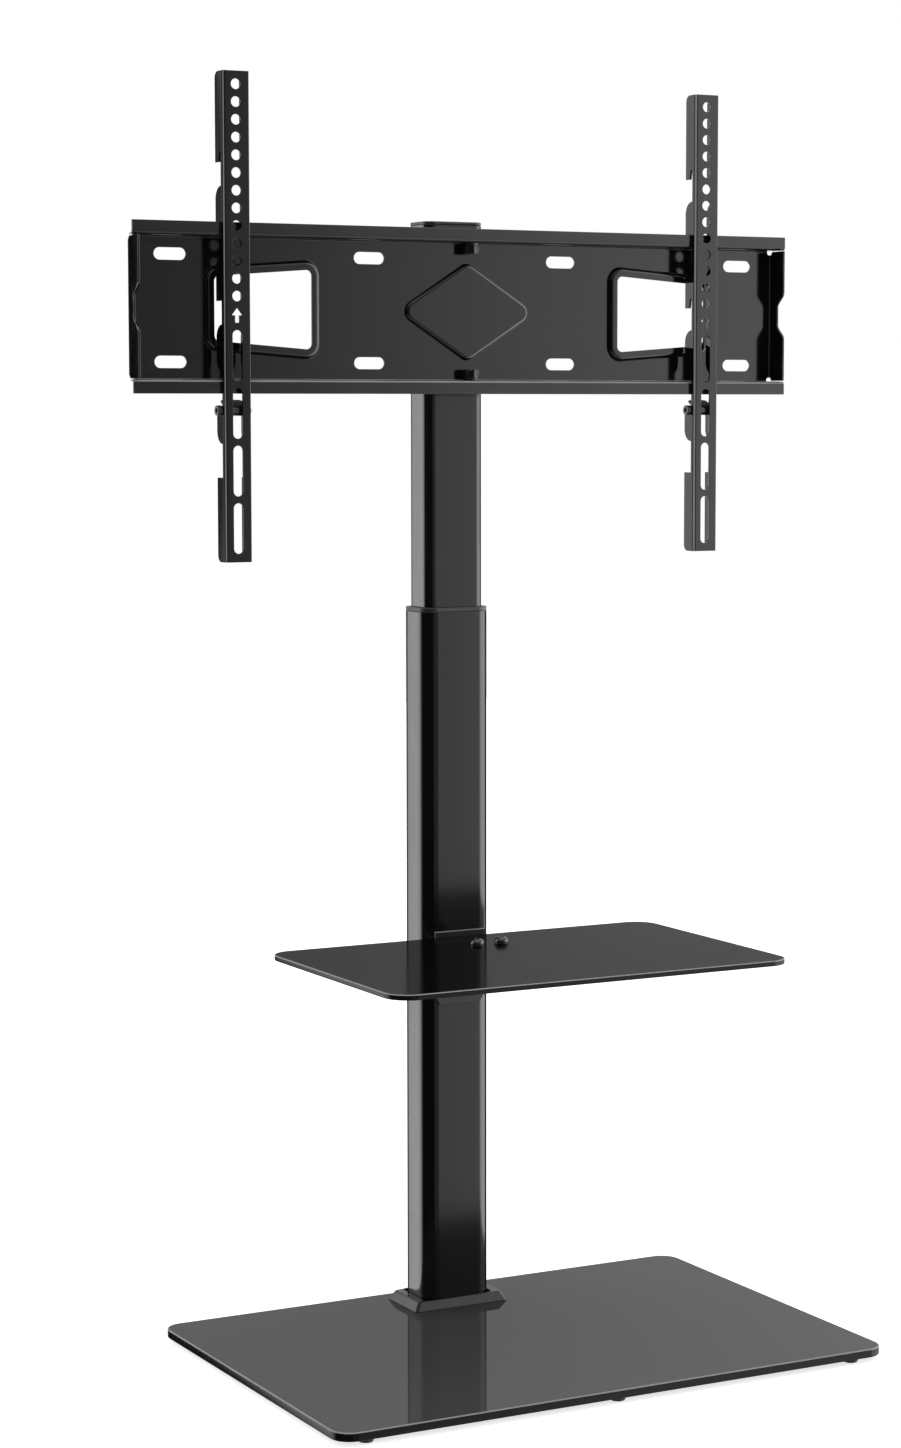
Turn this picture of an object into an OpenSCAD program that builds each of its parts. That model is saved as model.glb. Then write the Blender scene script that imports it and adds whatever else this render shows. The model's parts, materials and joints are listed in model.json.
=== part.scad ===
// Free-standing screen stand. A glass base and a glass shelf are carried by a
// telescopic column. A swivelling mount plate on the mast carries two hooked arms.
// The origin is on the floor under the middle of the base, and +Y points to the rear.

/* [Glass base] */
// Width of the base glass
base_w = 546; // [440:1:760]
// Depth of the base glass
base_d = 371; // [320:1:520]
// Thickness of the base glass
base_glass_t = 8; // [6:0.5:12]
// Corner radius of the base glass
base_corner_r = 18; // [8:1:40]
// Distance from the rear edge of the base to the column axis
column_setback = 45; // [42:1:120]
// Height of the rubber feet
foot_h = 5; // [4.8:0.2:12]
// Radius of a foot where it meets the glass
foot_top_r = 8; // [7:0.5:12]
// Radius of a foot on the floor
foot_bottom_r = 6.5; // [5:0.5:7]
// Distance from the side edges of the base to the outer feet
foot_inset_x = 30.5; // [20:0.5:60]
// Distance from the front and rear edges of the base to the feet
foot_inset_y = 13.5; // [12:0.5:20]

/* [Lower column] */
// Width of the lower column tube
column_w = 70; // [66:1:90]
// Depth of the lower column tube
column_d = 48; // [46:1:60]
// Outer corner radius of the lower column tube
column_corner_r = 14; // [12:0.5:15]
// Wall of the lower column tube
column_wall = 2; // [1.5:0.1:2.5]
// Height of the top of the lower column above the floor
column_top_z = 664; // [620:1:720]

/* [Mast] */
// Length of the mast tube
mast_len = 516; // [480:1:640]
// Length of the mast that stands inside the lower column
mast_insert = 164; // [160:1:200]
// How much smaller the mast is than the column on each side
mast_step = 5; // [4.5:0.1:6]
// Wall of the mast tube
mast_wall = 2; // [1.5:0.1:2.5]
// Thickness of the cap on the mast
cap_t = 3; // [2:0.5:5]
// Length of the guide bush between the two tubes
bush_len = 88; // [80:1:90]
// Height of the bush collar above the lower column
bush_collar_h = 4; // [2:0.5:8]

/* [Height adjustment] */
// Travel of the mast above the height shown
lift_up = 50; // [20:1:60]
// Travel of the mast below the height shown
lift_down = 100; // [20:1:120]
// Thread diameter of the rear lock screws
lock_screw_d = 8; // [6:0.5:10]
// Distance between the two lock screws
lock_pitch = 22; // [20:0.5:26]

/* [Foot collar] */
// How far the collar stands out from the column at each side
collar_margin_x = 13.5; // [13:0.5:24]
// How far the collar stands out in front of the column and behind it
collar_margin_y = 5; // [5:0.5:16]
// Height of the collar above the base glass
collar_h = 9; // [8:0.5:16]
// Width of the sloped edge round the top of the collar
collar_bevel = 2.5; // [1:0.1:2.6]

/* [Shelf] */
// Width of the shelf glass
shelf_w = 397; // [280:1:520]
// Depth of the shelf glass
shelf_d = 255; // [180:1:300]
// Thickness of the shelf glass
shelf_glass_t = 5; // [4:0.5:8]
// Corner radius of the shelf glass
shelf_corner_r = 22; // [6:1:50]
// Height of the top of the shelf glass above the floor
shelf_top_z = 363.5; // [200:0.5:370]
// Width of the shelf bracket plate
bracket_w = 52; // [52:1:54]
// Sheet thickness of the shelf bracket
bracket_t = 3; // [2.5:0.1:4]
// Length of the bracket below the top of the shelf glass
bracket_drop = 63.5; // [60:0.5:90]
// Length of the bracket table that carries the glass
bracket_reach = 76; // [68:1:120]
// Distance from the bracket plate to the shelf bolts
shelf_bolt_reach = 56; // [50:1:60]
// Distance between the two shelf bolts
shelf_bolt_pitch = 25; // [18:0.5:26]
// Diameter of the domed heads of the shelf bolts
shelf_head_d = 13; // [11:0.5:14]
// Height of the domed heads of the shelf bolts
shelf_head_h = 4.6; // [3:0.1:5]

/* [Swivel head] */
// Distance from the top of the mast tube to the middle of the mount plate
head_drop = 79.3; // [76:0.1:120]
// Distance from the front of the mast to the swivel axis
pivot_reach = 28.6; // [28:0.1:40]
// Distance from the swivel axis to the front of the plate's web
pivot_web_gap = 7.9; // [7.8:0.1:9]
// Thread diameter of the swivel bolts
pivot_bolt_d = 8; // [6:0.5:8]
// Sheet thickness of the swivel bracket
swivel_t = 3; // [2.5:0.1:3.5]
// Width of the swivel bracket on the mast
swivel_w = 40; // [36:1:42]

/* [Mount plate] */
// Width of the flanges of the mount plate
plate_w = 667; // [620:1:760]
// How far the flanges run past the web at each end
flange_overrun = 3; // [1:0.5:5]
// Sheet thickness of the mount plate
plate_t = 2; // [1.5:0.1:2.5]
// Height over the two flanges
channel_h = 127.2; // [126:0.1:150]
// Depth from the rear of the web to the front of the lips
channel_d = 20.1; // [20:0.1:24]
// Height of each lip beyond its flange
lip_h = 10.4; // [9.6:0.1:12]
// Depth of the side flanges from the rear of the web
side_flange_d = 24.4; // [18:0.1:30]
// Height of the side flanges
side_flange_h = 116; // [100:1:117]
// Horizontal distance between the inner slots
slot_inner_x = 196.8; // [180:0.1:230]
// Distance from each end of the plate to the middle of its outer slots
slot_outer_inset = 42.4; // [30:0.1:48.5]
// Vertical distance between the slot rows
slot_pitch_z = 93.1; // [84:0.1:96]
// Length of a slot
slot_len = 30.4; // [16:0.1:32]
// Height of a slot
slot_h = 10.6; // [6:0.1:11]
// Distance from each end of the plate to the window's raised rim
window_end_gap = 73; // [68:0.5:81]
// Width over the window's raised rim
window_w = 112.5; // [80:0.5:114]
// Height over the rim on the side towards the middle
window_inner_h = 90; // [76:0.5:94]
// Height over the rim on the side towards the end
window_outer_h = 73; // [60:0.5:76]
// Width of the raised rim round a window
rim_w = 9.2; // [7:0.1:12]
// How far the rim is raised
rim_raise = 4.3; // [2.5:0.1:4.6]
// Width of the raised diamond in the middle of the plate
diamond_w = 127; // [80:1:136]
// Height of the raised diamond
diamond_h = 87; // [60:1:96]
// How far the diamond is raised
diamond_raise = 3; // [2.1:0.1:4]

/* [Arms] */
// Place of the left arm along the plate
left_arm_x = -238.5; // [-310:0.5:-100]
// Place of the right arm along the plate
right_arm_x = 241.5; // [100:0.5:310]
// Width of an arm's front face
arm_w = 25; // [22:0.5:30]
// Depth of an arm
arm_d = 17; // [15:0.1:18]
// Depth of an arm at its necks
arm_neck_d = 5.7; // [5:0.1:6]
// Sheet thickness of the arms
arm_t = 2; // [1.5:0.1:2.2]
// Length of an arm
arm_len = 423.5; // [423:0.5:460]
// Gap between an arm's necks and notches and the lips
lip_clear = 0.3; // [0.3:0.05:0.5]
// Distance from the top of an arm to its first notch
hook_first = 69.1; // [60:0.1:72]
// Distance between the notches
hook_pitch = 59.5; // [58:0.1:60]
// Depth of a notch above its tip
hook_tip_h = 8.7; // [7:0.1:9]
// Distance from the top of an arm to its first round hole
hole_first = 11.3; // [9:0.1:14]
// Distance between the round holes
hole_pitch = 15.12; // [13:0.01:15.3]
// Diameter of the round holes
hole_d = 9; // [5:0.1:10]
// Distance from the top of an arm to the middle of its first slot
arm_slot_first = 244; // [242:0.1:245]
// Distance between the arm slots
arm_slot_pitch = 50; // [48:0.1:50.5]
// Length of an arm slot
arm_slot_len = 44; // [30:0.1:45]
// Width of an arm slot
arm_slot_w = 9; // [5:0.1:10]

/* [Arm latches] */
// Distance from the lower lip of the plate down to the cross bolt
latch_gap = 14.6; // [13.1:0.1:23.1]
// Thread diameter of the cross bolt
latch_bolt_d = 5; // [3:0.1:5.5]
// Outer radius of the latch sleeve
latch_sleeve_r = 4.75; // [4.2:0.05:5.2]
// Length of the latch tongue
latch_tongue_len = 10.8; // [8:0.1:11]
// Thickness of the latch tongue
latch_tongue_t = 1.5; // [1:0.1:2]
// Rise of the latch tongue towards the rear, in degrees
latch_rise = 30; // [10:1:32]

/* [Hidden] */
$fn = 64;
over = 1;
fit_gap = 0.1;
slide_gap = 0.3;
bore_gap = 0.05;
// The corner circles of a slanted outline stay this much inside its edges
corner_ease = 0.02;

// Heights and places that follow the driving sizes
column_y = base_d / 2 - column_setback;
base_top_z = foot_h + base_glass_t;
mast_w = column_w - 2 * mast_step;
mast_d = column_d - 2 * mast_step;
mast_corner_r = column_corner_r - mast_step;
mast_bottom_z = column_top_z - mast_insert;
mast_top_z = mast_bottom_z + mast_len;

// Foot of the column
gasket_t = 0.8;
flange_t = 4;
flange_margin_x = 9;
flange_margin_y = 1;
flange_corner_r = 4;
flange_w = column_w + 2 * flange_margin_x;
flange_d = column_d + 2 * flange_margin_y;
flange_z = base_top_z + gasket_t;
flange_top_z = flange_z + flange_t;
under_plate_margin_x = 16;
under_plate_margin_y = 8;
under_plate_w = flange_w + 2 * under_plate_margin_x;
under_plate_d = flange_d + 2 * under_plate_margin_y;
under_plate_t = 3.2;
under_plate_r = 6;
gasket_inset = 2;
under_plate_top_z = foot_h - gasket_t;
base_bolt_d = 6;
base_bolt_head_r = 6;
base_bolt_cone_h = 3;
base_bolt_x = (column_w + flange_w) / 4;
base_bolt_inset_y = 8;
base_bolt_y = flange_d / 2 - base_bolt_inset_y;
sleeve_wall = 1.6;
sleeve_bore_r = base_bolt_d / 2 + 3 * fit_gap;
sleeve_r = sleeve_bore_r + sleeve_wall;

// Collar round the foot of the column
collar_w = column_w + 2 * collar_margin_x;
collar_d = column_d + 2 * collar_margin_y;
collar_shift = 1;
collar_wall_top = 2.5;
collar_gap = 0.5;
collar_corner = 2.5;

// Guide bush and plug
column_in_w = column_w - 2 * column_wall;
column_in_d = column_d - 2 * column_wall;
column_in_r = column_corner_r - column_wall;
mast_in_w = mast_w - 2 * mast_wall;
mast_in_d = mast_d - 2 * mast_wall;
mast_in_r = mast_corner_r - mast_wall;
plug_h = 14;
plug_flange_h = 3;
plug_wall = 3;
cap_plug_h = 12;

// Lock screws at the rear of the column
lock_drop = 52;
lock_hole_gap = 0.3;
lock_head_r = 7;
lock_head_h = 5;
lock_washer_r = 9;
lock_washer_t = 1.6;
lock_nut_w = 24;
lock_nut_t = 5;
lock_nut_margin = 12;
lock_top_z = column_top_z - lock_drop;
lock_low_z = lock_top_z - lock_pitch;
lock_nut_rear_y = mast_in_d / 2 - slide_gap;
lock_slot_w = lock_screw_d + 2 * slide_gap + 2 * fit_gap;
lock_slot_end = 2;
lock_slot_low_z = lock_low_z - lift_up - lock_slot_end;
lock_slot_top_z = lock_top_z + lift_down + lock_slot_end;

// Shelf bracket and its fasteners
bracket_rise = 2;
shelf_rear_gap = 1.4;
shelf_gasket_t = 1;
shelf_washer_t = 0.8;
table_w = 46;
gusset_t = 3;
gusset_rear_h = 36;
gusset_front_h = 8;
bracket_cut_x = 5;
bracket_cut_z = 9;
bracket_plate_y = -column_d / 2 - bracket_t;
table_top_z = shelf_top_z - shelf_glass_t - shelf_gasket_t;
table_z = table_top_z - bracket_t;
bracket_bottom_z = shelf_top_z - bracket_drop;
screw_d = 6;
screw_head_r = 5;
screw_head_h = 3.3;
screw_pitch_x = 22;
bracket_screw_low = 22;
bracket_screw_pitch = 22;
nut_plate_t = 4;
nut_plate_margin = 9;
shelf_bolt_d = 6;
shelf_bolt_y = bracket_plate_y - shelf_bolt_reach;
shelf_rear_y = bracket_plate_y - shelf_rear_gap;
shelf_sleeve_wall = 1.2;
shelf_nut_r = 5.77;
shelf_nut_h = 5;
bolt_tail = 1.5;

// Swivel head
head_z = mast_top_z - head_drop;
pivot_y = -mast_d / 2 - pivot_reach;
web_front_y = pivot_y + pivot_web_gap;
web_rear_y = web_front_y + plate_t;
lip_front_y = web_rear_y - channel_d;
friction_washer_t = 1;
pivot_washer_t = 1.6;
pivot_gap = 0.2;
pivot_ear_r = 7.5;
pivot_head_r = 7;
pivot_head_h = 4.4;
pivot_nut_r = 7.5;
pivot_nut_h = 8;
ear_in_z = channel_h / 2 + pivot_gap + friction_washer_t;
ear_out_z = ear_in_z + swivel_t;
swivel_bend_r = 2;
swivel_screw_z = 35;
head_nut_w = 40;

// Mount plate
bend_r = 1;
web_w = plate_w - 2 * flange_overrun;
slot_outer_x = plate_w - 2 * slot_outer_inset;
window_x = plate_w / 2 - window_end_gap - window_w;
lip_top_z = channel_h / 2 + lip_h;
rim_corner_r = 10;
window_corner_r = 5;
diamond_corner_r = 8;
relief_r = 2.2;
notch_h = 40.5;
notch_flat_h = 19;
notch_d = 10.3;

// Arms
hook_used = 2;
hook_count = 3;
hook_neck_len = 29;
notch_w = plate_t + 2 * lip_clear;
notch_flare = 1.3;
notch_mouth_w = notch_w + notch_flare;
lobe_r = arm_d - arm_neck_d;
rail_clear = 6.5;
latch_lobe_gap = 10.3;
latch_lobe_h = 22.1;
shoulder_gap = 40.4;
arm_corner_r = 6;
arm_bend_r = 0.6;
hole_count = 13;
arm_slot_count = 4;
arrow_gap = 5.5;
arrow_h = 12.9;
arrow_w = 10;
arrow_stem_w = 4;
arrow_head_h = 6.5;
arm_front_y = lip_front_y - lip_clear - arm_neck_d;

// Distances down from the top of an arm that hangs on the plate
hook_at = hook_first + (hook_used - 1) * hook_pitch;
low_lip_at = hook_at + lip_clear + 2 * lip_top_z;
lobe_low = low_lip_at - lip_h - plate_t - rail_clear - lobe_r;
latch_lobe_top = low_lip_at + latch_lobe_gap;
latch_lobe_low = latch_lobe_top + latch_lobe_h;
shoulder = latch_lobe_low + shoulder_gap;
latch_drop = low_lip_at + latch_gap;
arm_top_z = head_z + lip_top_z + lip_clear + hook_at;

// Cross bolts and latches
latch_side_gap = 0.3;
latch_head_r = 4.65;
latch_head_h = 3;
latch_nut_r = 4.6;
latch_nut_h = 4;
latch_z = arm_top_z - latch_drop;
latch_y = arm_front_y + arm_d / 2;
latch_w = arm_w - 2 * arm_t - 2 * latch_side_gap;
latch_corner_r = 3;

// Colours as they show on the object
paint = [0.13, 0.13, 0.14];
dark_paint = [0.07, 0.07, 0.075];
plastic = [0.1, 0.1, 0.1];
rubber = [0.05, 0.05, 0.05];
glass_tint = [0.16, 0.17, 0.19];
zinc = [0.62, 0.63, 0.65];

// Places the column axis, the mount plate's middle and an arm's top
module at_column() {
    translate([0, column_y, 0]) children();
}

module at_head() {
    translate([0, column_y, head_z]) children();
}

module at_arm(x) {
    translate([x, column_y + arm_front_y, arm_top_z]) children();
}

// Flat outlines
module rounded_rect(w, d, r) {
    square([w - 2 * r, d], center = true);
    square([w, d - 2 * r], center = true);
    for (sx = [-1, 1], sy = [-1, 1])
        translate([sx * (w / 2 - r), sy * (d / 2 - r)]) circle(r);
}

module slot_outline(length, width) {
    square([length - width, width], center = true);
    for (s = [-1, 1])
        translate([s * (length - width) / 2, 0]) circle(d = width);
}

function unit(v) = v / norm(v);
function before(p, i) = p[(i + len(p) - 1) % len(p)];
function after(p, i) = p[(i + 1) % len(p)];
function half_angle(p, i) =
    acos(unit(before(p, i) - p[i]) * unit(after(p, i) - p[i])) / 2;

// A convex outline with round corners
module rounded_outline(p, r) {
    polygon([for (i = [0 : len(p) - 1]) each [
        p[i] + unit(before(p, i) - p[i]) * r / tan(half_angle(p, i)),
        p[i] + unit(after(p, i) - p[i]) * r / tan(half_angle(p, i))
    ]]);
    for (i = [0 : len(p) - 1])
        translate(p[i] + unit(unit(before(p, i) - p[i]) + unit(after(p, i) - p[i])) * r
            / sin(half_angle(p, i))) circle(r - corner_ease);
}

// A quarter of a bent sheet, round the origin, in the first quadrant
module bend(r, t) {
    difference() {
        intersection() {
            circle(r + t);
            square(r + t);
        }
        circle(r);
    }
}

// Solids that point along an axis
module tube_column(w, d, r, wall, h) {
    linear_extrude(h) difference() {
        rounded_rect(w, d, r);
        rounded_rect(w - 2 * wall, d - 2 * wall, r - wall);
    }
}

// Turns an outline drawn as (x, z) so that it runs from the front at y towards the rear
module along_y(y, length) {
    translate([0, y + length, 0]) rotate([90, 0, 0]) linear_extrude(length) children();
}

// Turns an outline drawn as (y, z) so that it runs along x from x
module along_x(x, length) {
    translate([x, 0, 0]) rotate([90, 0, 90]) linear_extrude(length) children();
}

module round_y(x, y, z, r, length) {
    translate([x, y + length, z]) rotate([90, 0, 0]) cylinder(h = length, r = r);
}

module round_x(x, y, z, r, length) {
    translate([x, y, z]) rotate([0, 90, 0]) cylinder(h = length, r = r);
}

module dome(r, h) {
    ball_r = (r * r + h * h) / (2 * h);
    intersection() {
        translate([0, 0, h - ball_r]) sphere(ball_r);
        cylinder(h = h + over, r = r);
    }
}

// Glass base, its feet and the stack under the column
module base_bolt_places() {
    for (sx = [-1, 1], sy = [-1, 1])
        translate([sx * base_bolt_x, column_y + sy * base_bolt_y, 0]) children();
}

module base_glass() {
    color(glass_tint) difference() {
        translate([0, 0, foot_h]) linear_extrude(base_glass_t)
            rounded_rect(base_w, base_d, base_corner_r);
        base_bolt_places() translate([0, 0, foot_h - over])
            cylinder(h = base_glass_t + 2 * over, r = sleeve_r + fit_gap);
    }
}

module foot(x, y) {
    translate([x, y, 0]) cylinder(h = foot_h, r1 = foot_bottom_r, r2 = foot_top_r);
}

module feet() {
    foot_x = base_w / 2 - foot_inset_x;
    foot_y = base_d / 2 - foot_inset_y;
    color(rubber) {
        for (sx = [-1, 0, 1]) foot(sx * foot_x, -foot_y);
        for (sx = [-1, 1]) foot(sx * foot_x, foot_y);
    }
}

module under_plate() {
    color(zinc) difference() {
        translate([0, column_y, under_plate_top_z - under_plate_t])
            linear_extrude(under_plate_t)
            rounded_rect(under_plate_w, under_plate_d, under_plate_r);
        base_bolt_places() {
            cylinder(h = foot_h, r = base_bolt_d / 2 + fit_gap);
            translate([0, 0, under_plate_top_z - under_plate_t])
                cylinder(h = base_bolt_cone_h, r1 = base_bolt_head_r + fit_gap,
                    r2 = base_bolt_d / 2 + fit_gap);
        }
    }
}

module under_gasket() {
    color(rubber) difference() {
        translate([0, column_y, under_plate_top_z]) linear_extrude(gasket_t)
            rounded_rect(under_plate_w - 2 * gasket_inset, under_plate_d - 2 * gasket_inset,
                under_plate_r - gasket_inset);
        base_bolt_places() cylinder(h = foot_h + over, r = sleeve_r);
    }
}

module base_bolts() {
    head_z0 = under_plate_top_z - under_plate_t;
    color(zinc) base_bolt_places() {
        translate([0, 0, head_z0])
            cylinder(h = base_bolt_cone_h, r1 = base_bolt_head_r, r2 = base_bolt_d / 2);
        translate([0, 0, head_z0])
            cylinder(h = flange_top_z - head_z0, r = base_bolt_d / 2);
    }
}

module glass_sleeves() {
    color(plastic) base_bolt_places() translate([0, 0, foot_h]) difference() {
        cylinder(h = base_glass_t, r = sleeve_r);
        translate([0, 0, -over]) cylinder(h = base_glass_t + 2 * over, r = sleeve_bore_r);
    }
}

module foot_gasket() {
    color(rubber) difference() {
        translate([0, column_y, base_top_z]) linear_extrude(gasket_t)
            rounded_rect(flange_w, flange_d, flange_corner_r);
        base_bolt_places() translate([0, 0, base_top_z - over])
            cylinder(h = gasket_t + 2 * over, r = sleeve_bore_r);
    }
}

// Lower column with its welded foot flange
module lower_column() {
    color(paint) difference() {
        union() {
            translate([0, column_y, flange_z]) linear_extrude(flange_t)
                rounded_rect(flange_w, flange_d, flange_corner_r);
            translate([0, column_y, flange_top_z])
                tube_column(column_w, column_d, column_corner_r, column_wall,
                    column_top_z - flange_top_z);
        }
        base_bolt_places() translate([0, 0, flange_z - over])
            cylinder(h = flange_t + 2 * over, r = base_bolt_d / 2 + bore_gap);
        at_column() {
            for (z = [lock_low_z, lock_top_z])
                round_y(0, column_in_d / 2 - over, z, lock_screw_d / 2 + lock_hole_gap,
                    column_wall + 2 * over);
            bracket_screw_places()
                round_y(0, -column_d / 2 - over, 0, screw_d / 2 + fit_gap,
                    column_wall + 2 * over);
        }
    }
}

module foot_collar() {
    low = [-collar_w / 2, collar_w / 2];
    front = -collar_d / 2 - collar_shift;
    rear = collar_d / 2 - collar_shift;
    color(dark_paint) at_column() translate([0, 0, base_top_z]) difference() {
        intersection() {
            along_y(front, collar_d) polygon([
                [low[0], 0], [low[1], 0],
                [low[1], collar_h - collar_bevel], [low[1] - collar_bevel, collar_h],
                [low[0] + collar_bevel, collar_h], [low[0], collar_h - collar_bevel]
            ]);
            along_x(-collar_w / 2, collar_w) polygon([
                [front, 0], [rear, 0],
                [rear, collar_h - collar_bevel], [rear - collar_bevel, collar_h],
                [front + collar_bevel, collar_h], [front, collar_h - collar_bevel]
            ]);
            linear_extrude(collar_h) polygon([
                [low[0], front + collar_corner], [low[0] + collar_corner, front],
                [low[1] - collar_corner, front], [low[1], front + collar_corner],
                [low[1], rear - collar_corner], [low[1] - collar_corner, rear],
                [low[0] + collar_corner, rear], [low[0], rear - collar_corner]
            ]);
        }
        translate([0, 0, -over]) linear_extrude(collar_h - collar_wall_top + over)
            rounded_rect(flange_w + 2 * collar_gap, flange_d + 2 * collar_gap, flange_corner_r);
        linear_extrude(collar_h + over)
            rounded_rect(column_w + 2 * collar_gap, column_d + 2 * collar_gap,
                column_corner_r + collar_gap);
    }
}

// Guide bush and the rear lock
module guide_bush() {
    bore_w = mast_w + 2 * slide_gap;
    bore_d = mast_d + 2 * slide_gap;
    bore_r = mast_corner_r + slide_gap;
    color(plastic) at_column() difference() {
        union() {
            translate([0, 0, column_top_z - bush_len]) linear_extrude(bush_len + over)
                rounded_rect(column_in_w - 2 * fit_gap, column_in_d - 2 * fit_gap,
                    column_in_r - fit_gap);
            translate([0, 0, column_top_z]) linear_extrude(bush_collar_h)
                rounded_rect(column_w, column_d, column_corner_r);
        }
        translate([0, 0, column_top_z - bush_len - over])
            linear_extrude(bush_len + bush_collar_h + 2 * over)
            rounded_rect(bore_w, bore_d, bore_r);
        for (z = [lock_low_z, lock_top_z])
            round_y(0, mast_d / 2 - over, z, lock_screw_d / 2 + lock_hole_gap,
                mast_step + 2 * over);
    }
}

module lock_screws() {
    color(zinc) at_column() for (z = [lock_low_z, lock_top_z]) {
        round_y(0, lock_nut_rear_y - lock_nut_t, z, lock_screw_d / 2,
            column_d / 2 + lock_washer_t - lock_nut_rear_y + lock_nut_t + fit_gap);
        round_y(0, column_d / 2 + lock_washer_t, z, lock_head_r, lock_head_h);
    }
}

module lock_washers() {
    color(zinc) at_column() for (z = [lock_low_z, lock_top_z]) difference() {
        round_y(0, column_d / 2, z, lock_washer_r, lock_washer_t);
        round_y(0, column_d / 2 - over, z, lock_screw_d / 2 + fit_gap,
            lock_washer_t + 2 * over);
    }
}

module lock_nut_plate() {
    plate_h = lock_pitch + 2 * lock_nut_margin;
    color(zinc) at_column() difference() {
        translate([-lock_nut_w / 2, lock_nut_rear_y - lock_nut_t,
            lock_low_z - lock_nut_margin]) cube([lock_nut_w, lock_nut_t, plate_h]);
        for (z = [lock_low_z, lock_top_z])
            round_y(0, lock_nut_rear_y - lock_nut_t - over, z,
                lock_screw_d / 2 + bore_gap, lock_nut_t + 2 * over);
    }
}

// Shelf, its bracket and their fasteners
module bracket_screw_places() {
    for (sx = [-1, 1], row = [0, 1])
        translate([sx * screw_pitch_x / 2, 0,
            bracket_bottom_z + bracket_screw_low + row * bracket_screw_pitch]) children();
}

module shelf_bolt_places() {
    for (sx = [-1, 1])
        translate([sx * shelf_bolt_pitch / 2, column_y + shelf_bolt_y, 0]) children();
}

module shelf_bracket() {
    top = shelf_top_z + bracket_rise;
    color(paint) difference() {
        at_column() {
            along_y(bracket_plate_y, bracket_t) polygon([
                [-bracket_w / 2 + bracket_cut_x, bracket_bottom_z],
                [bracket_w / 2 - bracket_cut_x, bracket_bottom_z],
                [bracket_w / 2, bracket_bottom_z + bracket_cut_z],
                [bracket_w / 2, top], [-bracket_w / 2, top],
                [-bracket_w / 2, bracket_bottom_z + bracket_cut_z]
            ]);
            translate([-table_w / 2, bracket_plate_y - bracket_reach, table_z])
                cube([table_w, bracket_reach + bracket_t / 2, bracket_t]);
            for (x = [-table_w / 2, table_w / 2 - gusset_t])
                along_x(x, gusset_t) polygon([
                    [bracket_plate_y + bracket_t / 2, table_z + bracket_t / 2],
                    [bracket_plate_y - bracket_reach, table_z + bracket_t / 2],
                    [bracket_plate_y - bracket_reach, table_z - gusset_front_h],
                    [bracket_plate_y + bracket_t / 2, table_z - gusset_rear_h]
                ]);
        }
        shelf_bolt_places() translate([0, 0, table_z - over])
            cylinder(h = bracket_t + 2 * over, r = shelf_bolt_d / 2 + fit_gap);
        at_column() bracket_screw_places()
            round_y(0, bracket_plate_y - over, 0, screw_d / 2 + fit_gap,
                bracket_t + 2 * over);
    }
}

// A screw set from the front: its head starts at y and its shank runs to the rear
module front_screw(y, length) {
    round_y(0, y, 0, screw_head_r, screw_head_h);
    round_y(0, y + screw_head_h, 0, screw_d / 2, length);
}

module bracket_screws() {
    color(zinc) at_column() bracket_screw_places()
        front_screw(bracket_plate_y - screw_head_h, bracket_t + column_wall + nut_plate_t);
}

module shelf_nut_plate() {
    low = bracket_bottom_z + bracket_screw_low - nut_plate_margin;
    color(zinc) at_column() difference() {
        translate([-screw_pitch_x / 2 - nut_plate_margin, -column_in_d / 2, low])
            cube([screw_pitch_x + 2 * nut_plate_margin, nut_plate_t,
                bracket_screw_pitch + 2 * nut_plate_margin]);
        bracket_screw_places()
            round_y(0, -column_in_d / 2 - over, 0, screw_d / 2 + bore_gap,
                nut_plate_t + 2 * over);
    }
}

module shelf_gasket() {
    color(rubber) difference() {
        translate([-table_w / 2, column_y + bracket_plate_y - bracket_reach, table_top_z])
            cube([table_w, bracket_reach - shelf_rear_gap, shelf_gasket_t]);
        shelf_bolt_places() translate([0, 0, table_top_z - over])
            cylinder(h = shelf_gasket_t + 2 * over, r = shelf_bolt_d / 2 + fit_gap);
    }
}

module shelf_glass() {
    hole_r = shelf_bolt_d / 2 + fit_gap + shelf_sleeve_wall + fit_gap;
    color(glass_tint) difference() {
        translate([0, column_y + shelf_rear_y - shelf_d / 2, shelf_top_z - shelf_glass_t])
            linear_extrude(shelf_glass_t) rounded_rect(shelf_w, shelf_d, shelf_corner_r);
        shelf_bolt_places() translate([0, 0, table_top_z])
            cylinder(h = shelf_glass_t + shelf_gasket_t + over, r = hole_r);
    }
}

module shelf_sleeves() {
    color(plastic) shelf_bolt_places() translate([0, 0, shelf_top_z - shelf_glass_t])
        difference() {
            cylinder(h = shelf_glass_t, r = shelf_bolt_d / 2 + fit_gap + shelf_sleeve_wall);
            translate([0, 0, -over])
                cylinder(h = shelf_glass_t + 2 * over, r = shelf_bolt_d / 2 + fit_gap);
        }
}

module shelf_washers() {
    color(plastic) shelf_bolt_places() translate([0, 0, shelf_top_z]) difference() {
        cylinder(h = shelf_washer_t, r = shelf_head_d / 2);
        translate([0, 0, -over])
            cylinder(h = shelf_washer_t + 2 * over, r = shelf_bolt_d / 2 + fit_gap);
    }
}

module shelf_bolts() {
    head_z0 = shelf_top_z + shelf_washer_t;
    tail_z = table_z - shelf_nut_h - bolt_tail;
    color(paint) shelf_bolt_places() {
        translate([0, 0, head_z0]) dome(shelf_head_d / 2, shelf_head_h - shelf_washer_t);
        translate([0, 0, tail_z])
            cylinder(h = head_z0 - tail_z + fit_gap, r = shelf_bolt_d / 2);
    }
}

module shelf_nuts() {
    color(zinc) shelf_bolt_places() translate([0, 0, table_z - shelf_nut_h]) difference() {
        rotate(30) cylinder(h = shelf_nut_h, r = shelf_nut_r, $fn = 6);
        translate([0, 0, -over])
            cylinder(h = shelf_nut_h + 2 * over, r = shelf_bolt_d / 2 + bore_gap);
    }
}

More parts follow.
